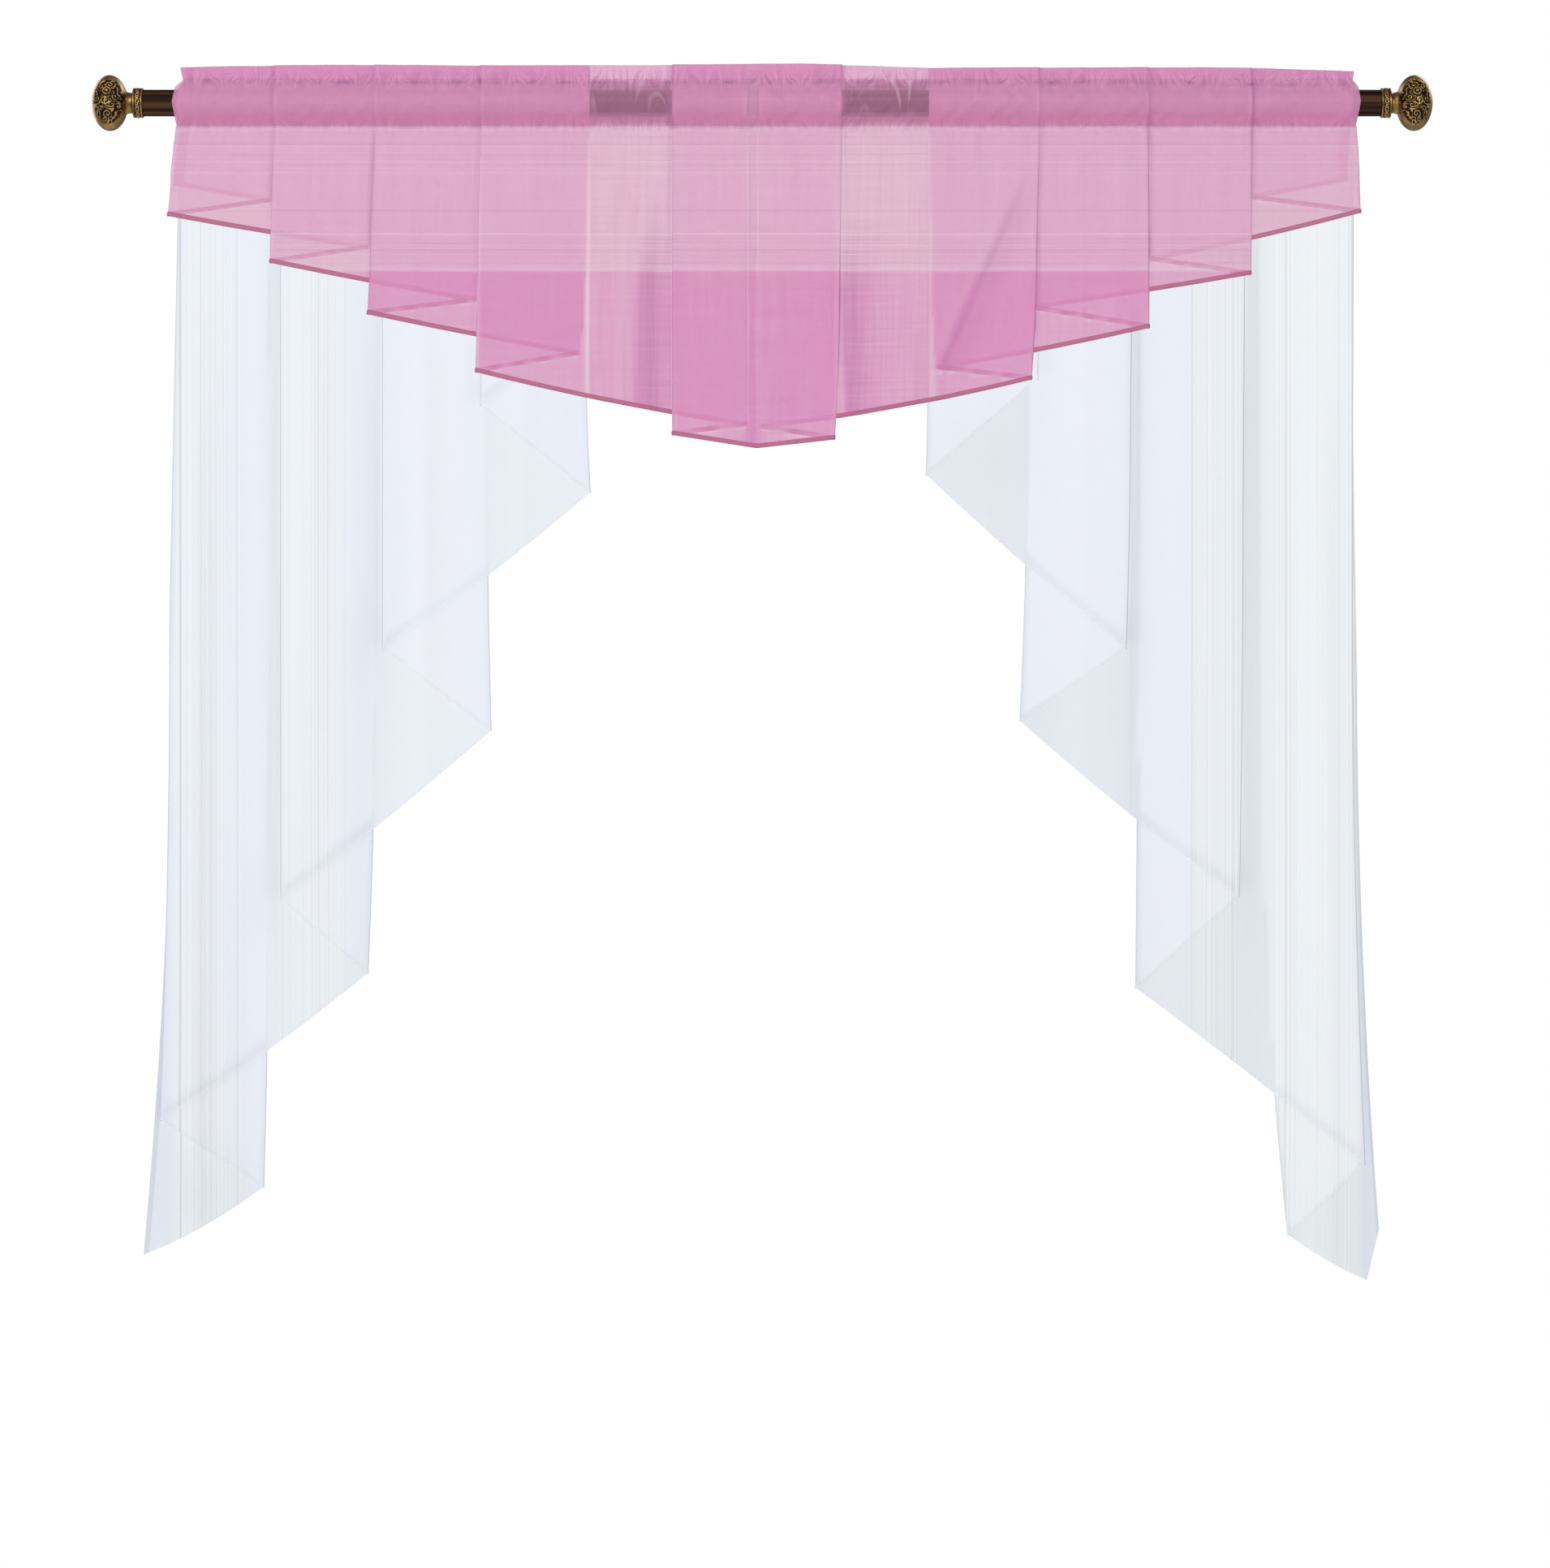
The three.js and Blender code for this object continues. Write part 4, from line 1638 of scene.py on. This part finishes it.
@dataclass
class Rod(Piece):
    """The round rod that the curtain hangs on."""

    sides: int = 96
    draw_lines: int = 16
    draw_depth: float = 0.1
    end_bevel: float = 0.8

    def build(self, finish: BronzeFinish) -> bpy.types.Object:
        """Make the rod where its solid is.

        Args:
            finish: Its finish.

        Returns:
            The rod's object.
        """
        low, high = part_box("rod")
        radius = (high.z - low.z) / 2.0
        turn = Matrix.Translation((low + high) / 2.0) @ Matrix.Rotation(math.pi / 2, 4, "Y")
        made = bmesh.new()
        bmesh.ops.create_cone(
            made,
            cap_ends=True,
            segments=self.sides,
            radius1=radius,
            radius2=radius,
            depth=high.x - low.x,
            matrix=turn,
        )
        rims = [e for e in made.edges if abs(e.verts[0].co.x - e.verts[1].co.x) < 1e-6]
        bmesh.ops.bevel(
            made,
            geom=rims,
            offset=self.end_bevel * MM,
            offset_type="OFFSET",
            affect="EDGES",
            segments=3,
            profile=0.5,
            material=-1,
        )
        for vert in made.verts:
            angle = math.atan2(vert.co.y, vert.co.z)
            shrink = 1.0 - self.draw_depth * MM / radius * abs(math.sin(self.draw_lines / 2 * angle))
            vert.co.y *= shrink
            vert.co.z *= shrink
        piece = self.add(made, "rod_bar", finish.make(), "rod")
        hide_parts("rod")
        return piece


@dataclass(frozen=True)
class Scroll:
    """One raised stroke of the cast ornament on the unrolled surface: a spiral arm or a ring."""

    across: float
    along: float
    inner: float
    outer: float
    turns: float
    start: float
    half_width: float = 0.55

    def points(self, step: float) -> list[tuple[float, float]]:
        """Walk along the stroke.

        Args:
            step: About how far apart the places are.

        Returns:
            The places, across and along.
        """
        length = math.tau * abs(self.turns) * max(self.inner, self.outer)
        count = max(6, round(length / step))
        found = []
        for i in range(count + 1):
            share = i / count
            radius = lerp(self.inner, self.outer, share)
            angle = math.tau * (self.start + self.turns * share)
            found.append((self.across + radius * math.cos(angle), self.along + radius * math.sin(angle)))
        return found


BALL_SCROLLS = (
    Scroll(9.4, 0.2, 3.6, 3.6, 1.0, 0.0, 0.6),
    Scroll(9.4, 0.2, 0.2, 1.3, 1.2, 0.0, 0.6),
    Scroll(0.4, 2.0, 0.7, 4.6, 1.35, 0.35, 0.6),
    Scroll(-1.4, -3.6, 6.0, 5.4, 0.34, 0.12, 0.6),
    Scroll(-4.6, -5.0, 0.6, 3.4, -1.1, 0.1),
    Scroll(3.4, -7.4, 0.6, 3.2, 1.05, 0.65),
    Scroll(-13.4, -0.4, 0.6, 4.1, 1.25, 0.2, 0.6),
    Scroll(-9.0, 6.4, 0.6, 3.2, -1.05, 0.85),
    Scroll(2.2, 9.6, 0.6, 3.3, -1.1, 0.3),
    Scroll(16.4, -2.4, 0.6, 3.2, 1.05, 0.15),
    Scroll(15.2, 6.4, 0.6, 3.0, -1.0, 0.5),
    Scroll(-19.4, 3.0, 0.6, 2.8, -1.0, 0.4),
)
COLLAR_SCROLLS = (
    Scroll(0.0, 4.5, 1.5, 1.5, 1.0, 0.0, 0.5),
    *(Scroll(3.6, 4.5, 0.2, 2.1, 0.02, start, 0.5) for start in (0.125, 0.375, 0.625, 0.875)),
)


@dataclass
class Finial(Piece):
    """A cast finial: a collar that cups the rod's end, a neck, and a flattened ball covered in scrolls."""

    collar_length: float = 9.0
    collar_radius: float = 14.0
    rim: float = 1.5
    bore_radius: float = 12.8
    neck_length: float = 5.3
    neck_radius: float = 9.6
    shoulder: float = 10.6
    ball_length: float = 34.0
    ball_radius: float = 26.0
    ball_rings: int = 140
    spin_steps: int = 400
    ball_repeats: int = 2
    collar_repeats: int = 12
    sunk: float = 0.9
    collar_sunk: float = 0.5
    field_across: float = 28.0
    field_along: float = 15.5
    field_shift: float = -1.5
    field_soft: float = 0.14
    tendril_pitch: float = 2.7
    tendril_width: float = 0.3
    tendril_clear: float = 1.1
    tendril_soft: float = 0.8
    stroke_step: float = 0.3
    plain_relief: float = 0.8
    bore_wall: float = 0.6
    wander: Unevenness = field(default_factory=lambda: Unevenness(17))

    @property
    def middle(self) -> float:
        """Where the ball's widest ring is, from the collar's open end."""
        return self.collar_length + self.neck_length + self.ball_length / 2

    def profile(self) -> list[tuple[float, float]]:
        """The turned outline from the collar's mouth to the tip.

        Returns:
            Places along the rod, and radii.
        """
        rim, neck = self.rim, self.collar_length
        points = [(3.0, self.bore_radius), (0.15, self.bore_radius), (0.0, self.bore_radius + 0.2)]
        points += [(0.0, self.collar_radius - 0.5), (0.15, self.collar_radius - 0.12)]
        points += [(float(x), self.collar_radius) for x in np.linspace(0.5, self.collar_length - 0.5, 21)]
        points += [(neck - 0.12, self.collar_radius - 0.15), (neck, self.collar_radius - 0.6)]
        points += [(neck + 0.1, self.collar_radius - 2.2), (neck + 0.5, self.neck_radius + 1.2)]
        points += [(neck + 1.1, self.neck_radius + 0.2), (neck + self.neck_length / 2, self.neck_radius)]
        points += [(neck + self.neck_length - 1.0, self.neck_radius + 0.25)]
        start = math.asin(self.shoulder / self.ball_radius)
        for angle in np.linspace(start, math.pi, self.ball_rings + 1):
            along = self.middle - self.ball_length / 2 * math.cos(angle)
            points.append((float(along), max(0.0, float(self.ball_radius * math.sin(angle)))))
        return points

    def strokes(
        self, scrolls: tuple[Scroll, ...], repeats: int, girth: float
    ) -> tuple[KDTree, list[float]]:
        """All the strokes round a turned band.

        Args:
            scrolls: Strokes of one repeat.
            repeats: How often they come round.
            girth: The band's length round.

        Returns:
            A tree of places on the strokes, and their half widths.
        """
        places = []
        widths = []
        for turn in range(-1, repeats + 1):
            for scroll in scrolls:
                for across, along in scroll.points(self.stroke_step):
                    places.append((across + turn * girth / repeats, along, 0.0))
                    widths.append(scroll.half_width)
        tree = KDTree(len(places))
        for index, place in enumerate(places):
            tree.insert(place, index)
        tree.balance()
        return tree, widths

    @staticmethod
    def raised(share: Amount) -> Amount:
        """How high a stroke stands, by the distance from its middle as a share of its half width."""
        return 1.0 - smoothstep((share - 0.35) / 0.9)

    def tendrils(self, across: np.ndarray, along: np.ndarray) -> np.ndarray:
        """How high the winding tendrils between the scrolls stand, from 0 to 1."""
        level = self.wander.at(across / self.tendril_pitch + 30.0, along / self.tendril_pitch + 30.0)
        return self.raised(np.abs(level) / self.tendril_width)

    def build(self, node: str, side: int, rod_end: float, finish: bpy.types.Material) -> bpy.types.Object:
        """Make one finial.

        Args:
            node: The solid that it stands for.
            side: -1 at the left end of the rod, 1 at the right.
            rod_end: Where the collar's open end is, in millimetres.
            finish: Its material.

        Returns:
            The finial's object.
        """
        made = bmesh.new()
        verts = [made.verts.new((along * MM, 0.0, radius * MM)) for along, radius in self.profile()]
        edges = [made.edges.new(pair) for pair in zip(verts, verts[1:])]
        bmesh.ops.spin(
            made,
            geom=verts + edges,
            axis=(1.0, 0.0, 0.0),
            cent=(0.0, 0.0, 0.0),
            angle=math.tau,
            steps=self.spin_steps,
            use_merge=True,
        )
        bmesh.ops.remove_doubles(made, verts=made.verts, dist=0.01 * MM)
        bmesh.ops.recalc_face_normals(made, faces=made.faces)
        self.cast(made)
        for vert in made.verts:
            vert.co.x = (rod_end + side * vert.co.x / MM) * MM
        if side < 0:
            bmesh.ops.reverse_faces(made, faces=made.faces)
        piece = self.add(made, f"{node}_cast", finish, "finial")
        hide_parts(node)
        return piece

    def cast(self, made: bmesh.types.BMesh) -> None:
        """Sink the ground between the strokes and store how high each point stands.

        Args:
            made: The turned finial, changed in place.
        """
        relief = made.verts.layers.float.new("relief")
        ball_girth = math.tau * self.ball_radius
        collar_girth = math.tau * self.collar_radius
        ball_tree, ball_widths = self.strokes(BALL_SCROLLS, self.ball_repeats, ball_girth)
        collar_tree, collar_widths = self.strokes(COLLAR_SCROLLS, self.collar_repeats, collar_girth)
        places = np.array([vert.co[:] for vert in made.verts]) / MM
        turns = (np.arctan2(places[:, 2], -places[:, 1]) / math.tau) % 1.0
        panel = ball_girth / self.ball_repeats
        off_centre = (turns * ball_girth + panel / 2) % panel - panel / 2
        latitude = places[:, 0] - self.middle
        tendrils = self.tendrils(off_centre, latitude)
        reach = np.hypot(off_centre / self.field_across, (latitude - self.field_shift) / self.field_along)
        spread = 1.0 - smoothstep((reach - 1.0) / self.field_soft + 1.0)
        for index, vert in enumerate(made.verts):
            along = places[index, 0]
            vert[relief] = self.plain_relief
            if along > self.collar_length + self.neck_length:
                _, stroke, away = ball_tree.find((turns[index] * ball_girth, latitude[index], 0.0))
                between = smoothstep((away - self.tendril_clear) / self.tendril_soft)
                height = max(self.raised(away / ball_widths[stroke]), tendrils[index] * between)
                self.sink(vert, self.sunk, float(height), float(spread[index]), relief)
            elif self.rim < along < self.collar_length - self.rim:
                if math.hypot(places[index, 1], places[index, 2]) > self.bore_radius + self.bore_wall:
                    _, stroke, away = collar_tree.find((turns[index] * collar_girth, along, 0.0))
                    height = float(self.raised(away / collar_widths[stroke]))
                    self.sink(vert, self.collar_sunk, height, 1.0, relief)

    def sink(
        self,
        vert: bmesh.types.BMVert,
        depth: float,
        height: float,
        spread: float,
        relief: bmesh.types.BMLayerItem,
    ) -> None:
        """Lower one point of the ornament's ground.

        Args:
            vert: The point.
            depth: How deep the ground lies.
            height: How far the point stands up from it, from 0 to 1.
            spread: How strongly the ornament shows here, from 0 to 1.
            relief: The layer that stores the height.
        """
        lower = depth * MM * (1.0 - height) * spread
        radius = math.hypot(vert.co.y, vert.co.z)
        if radius > lower:
            shrink = 1.0 - lower / radius
            vert.co.y *= shrink
            vert.co.z *= shrink
        vert[relief] = lerp(self.plain_relief, height, spread)


@dataclass(frozen=True)
class Lamp:
    """A soft square light: its name, place in metres, size and power."""

    name: str
    place: tuple[float, float, float]
    size: float
    power: float


@dataclass
class Studio:
    """Camera, floor and soft light."""

    image: tuple[int, int] = (1910, 1932)
    pixel: float = 0.76
    axis_pixel: tuple[float, float] = (939.0, 127.0)
    distance: float = 5.0
    sensor: float = 36.0
    floor_z: float = -2.05
    floor_half: float = 4.0
    floor_tones: tuple[float, float] = (0.86, 0.9)
    sky: float = 1.0
    fill: float = 0.217
    aim: tuple[float, float, float] = (0.0, 0.0, -0.45)
    lamps: tuple[Lamp, ...] = (
        Lamp("key", (-3.2, -5.4, 2.6), 3.0, 241.0),
        Lamp("side", (3.4, -5.6, 1.2), 3.0, 123.0),
        Lamp("rim", (3.4, 4.4, 2.6), 3.5, 91.0),
        Lamp("back", (-3.6, 4.6, 1.0), 3.5, 100.0),
    )

    def place_camera(self) -> None:
        """Set the camera level, square on to the curtain, with the photograph's frame."""
        across = (self.image[0] / 2 - self.axis_pixel[0]) * self.pixel * MM
        height = (self.axis_pixel[1] - self.image[1] / 2) * self.pixel * MM
        data = bpy.data.cameras.new("camera")
        data.sensor_width = self.sensor
        data.lens = self.sensor * self.distance / (max(self.image) * self.pixel * MM)
        camera = bpy.data.objects.new("camera", data)
        camera.location = (across, -self.distance, height)
        camera.rotation_euler = (math.pi / 2, 0.0, 0.0)
        bpy.context.scene.collection.objects.link(camera)
        bpy.context.scene.camera = camera

    def place_light(self, lamp: Lamp) -> None:
        """Add one lamp, turned to the curtain.

        Args:
            lamp: The lamp.
        """
        data = bpy.data.lights.new(lamp.name, "AREA")
        data.size = lamp.size
        data.energy = lamp.power
        light = bpy.data.objects.new(lamp.name, data)
        light.location = lamp.place
        way = Vector(self.aim) - Vector(lamp.place)
        light.rotation_euler = way.to_track_quat("-Z", "Y").to_euler()
        bpy.context.scene.collection.objects.link(light)

    def lay_floor(self) -> None:
        """Lay the pale floor well below the curtain."""
        graph = Graph(bpy.data.materials.new("pale_floor"))
        vector, *_ = graph.coordinate("Object")
        dark, light = ((tone, tone, tone, 1.0) for tone in self.floor_tones)
        tone = graph.mix(graph.noise(vector, 3.0), dark, light)
        made = bmesh.new()
        bmesh.ops.create_grid(made, x_segments=1, y_segments=1, size=self.floor_half)
        for vert in made.verts:
            vert.co.z = self.floor_z
        mesh = bpy.data.meshes.new("floor")
        made.to_mesh(mesh)
        made.free()
        mesh.materials.append(graph.surface(Base_Color=tone, Roughness=0.8))
        floor = bpy.data.objects.new("floor", mesh)
        bpy.context.scene.collection.objects.link(floor)

    def light_room(self) -> None:
        """Light the room: a white surround, softer as light than as a backdrop, and large lamps."""
        graph = Graph(bpy.data.worlds.new("studio"))
        white = (1.0, 1.0, 1.0, 1.0)
        seen, lit = (
            graph.node("ShaderNodeBackground", None, {"Color": white, "Strength": strength})
            for strength in (self.sky, self.fill)
        )
        in_view = graph.node("ShaderNodeLightPath", None, None, "Is Camera Ray")
        mixed = graph.node("ShaderNodeMixShader", None, {0: in_view, 1: lit, 2: seen})
        graph.node("ShaderNodeOutputWorld", None, {"Surface": mixed})
        scene = bpy.context.scene
        scene.world = graph.owner
        scene.view_settings.view_transform = "Standard"
        scene.cycles.transparent_max_bounces = 24
        scene.cycles.diffuse_bounces = 3
        for lamp in self.lamps:
            self.place_light(lamp)

    def build(self) -> None:
        """Set up the whole studio."""
        self.place_camera()
        self.lay_floor()
        self.light_room()


PINK_LINES = (
    WovenLine(-24.5, 1.0, 0.45),
    WovenLine(-38.8, 1.0, -0.3),
    WovenLine(-41.0, 1.0, 0.42),
    WovenLine(-55.5, 0.9, 0.26),
    WovenLine(-66.0, 1.0, 0.24),
    WovenLine(-101.5, 1.0, -0.25),
    WovenLine(-123.5, 1.1, 0.45),
    WovenLine(-134.0, 0.9, 0.26),
    WovenLine(-138.5, 1.0, -0.3),
    WovenLine(-155.8, 1.3, 0.45),
)
LEFT_LINES = (
    WovenLine(-545.5, 1.3, -0.9),
    WovenLine(-536.0, 1.2, 0.5),
    WovenLine(-526.0, 1.1, -0.25),
    WovenLine(-521.0, 1.2, 0.6),
    WovenLine(-493.0, 1.2, -0.3),
    WovenLine(-490.5, 1.2, 0.6),
    WovenLine(-463.0, 1.2, 0.4),
    WovenLine(-452.5, 1.3, 0.4),
    WovenLine(-416.0, 1.3, -0.3),
    WovenLine(-411.0, 1.3, 0.6),
)
RIGHT_LINES = (
    WovenLine(347.0, 1.2, -0.25),
    WovenLine(403.5, 1.2, -0.5),
    WovenLine(419.0, 1.3, 0.85),
    WovenLine(438.5, 1.2, 0.75),
    WovenLine(441.2, 1.2, -0.45),
    WovenLine(491.0, 1.2, -0.5),
    WovenLine(493.6, 1.2, 0.85),
    WovenLine(518.0, 1.2, 0.75),
    WovenLine(541.0, 1.0, -0.4),
)
PINK_SHEER = SheerFinish(
    name="pink_sheer",
    zones=(
        Zone(-400.0, (0.733, 0.289, 0.537, 1.0), 0.66),
        Zone(-158.5, (0.763, 0.415, 0.599, 1.0), 0.66),
        Zone(-21.5, (0.775, 0.281, 0.518, 1.0), 0.55),
        Zone(-8.5, (0.738, 0.309, 0.53, 1.0), 0.52),
        Zone(21.5, (0.738, 0.293, 0.533, 1.0), 0.53),
    ),
    light=(0.857, 0.664, 0.765, 1.0),
    deep=(0.507, 0.157, 0.313, 1.0),
    lone_tint=(0.99, 1.03, 1.0, 1.0),
    lone_cover=0.21,
    side_hem=9.0,
    lines=PINK_LINES,
    lines_up=False,
    bands=(LineBand(-66.0, -22.0, 0.1), LineBand(-160.0, -118.0, 0.13)),
    gathers=(
        Gather(21.3, 15.0, 6.0, 1.0, 0.34, 0.0),
        Gather(21.3, 40.0, 9.0, 1.0, 0.0, 0.4),
        Gather(4.0, 24.0, 17.0, 1.6, 0.12, 0.0),
        Gather(-21.5, 9.0, 8.0, 0.8, 0.22, 0.0),
    ),
    hem_cover=0.34,
    hem_deep=0.8,
)
WHITE_COVER = 0.85
LAVENDER_WHITE = (0.886, 0.918, 1.0, 1.0)
BLUE_WHITE = (0.86, 0.895, 1.0, 1.0)
CLEAR_WHITE = (0.897, 0.935, 0.993, 1.0)
WHITE_LEFT = SheerFinish(
    name="white_sheer_left",
    zones=(
        Zone(-700.0, BLUE_WHITE, WHITE_COVER),
        Zone(-554.0, CLEAR_WHITE, WHITE_COVER),
        Zone(-498.0, LAVENDER_WHITE, WHITE_COVER),
        Zone(-446.0, CLEAR_WHITE, WHITE_COVER),
        Zone(-392.0, LAVENDER_WHITE, WHITE_COVER),
    ),
    light=(0.97, 0.98, 1.0, 1.0),
    deep=(0.62, 0.66, 0.70, 1.0),
    lone_tint=(0.953, 0.978, 0.963, 1.0),
    lone_cover=0.0,
    side_hem=4.0,
    lines=LEFT_LINES,
    lines_up=True,
    bands=(LineBand(-543.0, -490.0, 0.22), LineBand(-456.0, -384.0, 0.22)),
    shade_tint=(0.66, 0.67, 0.69, 1.0),
    shade_cover=0.1,
    slub=0.03,
    edge=8.0,
    margin=6.0,
)
WHITE_RIGHT = replace(
    WHITE_LEFT,
    name="white_sheer_right",
    zones=(
        Zone(100.0, LAVENDER_WHITE, WHITE_COVER),
        Zone(404.0, (0.887, 0.928, 0.968, 1.0), WHITE_COVER),
        Zone(480.0, (0.926, 0.967, 1.0, 1.0), WHITE_COVER),
        Zone(562.0, BLUE_WHITE, WHITE_COVER),
    ),
    # The right fall's single layers take a deeper tint than the left's: painted shade.
    lone_tint=(0.905, 0.928, 0.918, 1.0),
    lines=RIGHT_LINES,
    bands=(LineBand(396.0, 450.0, 0.22), LineBand(478.0, 556.0, 0.22)),
)
ROSE_HEM = ThreadFinish("rose_hem", (0.553, 0.175, 0.295, 1.0), (0.387, 0.092, 0.175, 1.0), 0.92, 1.3)
WHITE_HEM = ThreadFinish("white_hem", (0.96, 0.97, 1.0, 1.0), (0.93, 0.95, 0.99, 1.0), 0.24, 1.1)


def main() -> None:
    """Build the studio and dress every piece of the curtain."""
    logging.basicConfig(level=logging.INFO, format="%(message)s")
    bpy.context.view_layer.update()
    left_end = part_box("finial_left")[1].x / MM
    right_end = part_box("finial_right")[0].x / MM
    Studio().build()
    rod = Rod().build(BronzeFinish())
    brass = BrassFinish().make()
    Finial().build("finial_left", -1, left_end, brass)
    Finial().build("finial_right", 1, right_end, brass)
    valance = Valance(
        name="valance_cloth",
        folds=VALANCE_FOLDS,
        node="valance",
        slot="pink_sheer",
        finish=PINK_SHEER,
        hem_finish=ROSE_HEM,
        creases=VALANCE_CREASES,
        shades=VALANCE_SHADES,
    ).build([rod.name], "gathered")
    sides = (
        ("fall_left", LEFT_FALL_FOLDS, WHITE_LEFT, LEFT_SHADES),
        ("fall_right", RIGHT_FALL_FOLDS, WHITE_RIGHT, RIGHT_SHADES),
    )
    for node, folds, finish, shades in sides:
        Fall(
            name=f"{node}_cloth",
            folds=folds,
            node=node,
            slot="white_sheer",
            finish=finish,
            hem_finish=WHITE_HEM,
            creases=FALL_CREASES,
            shades=shades,
            levels=150,
            level_power=1.1,
            pitch=4.5,
            hem_height=1.2,
            hem_thickness=0.6,
            lone_below=0.0,
        ).build([valance.name], "hung")


if __name__ == "__main__":
    main()
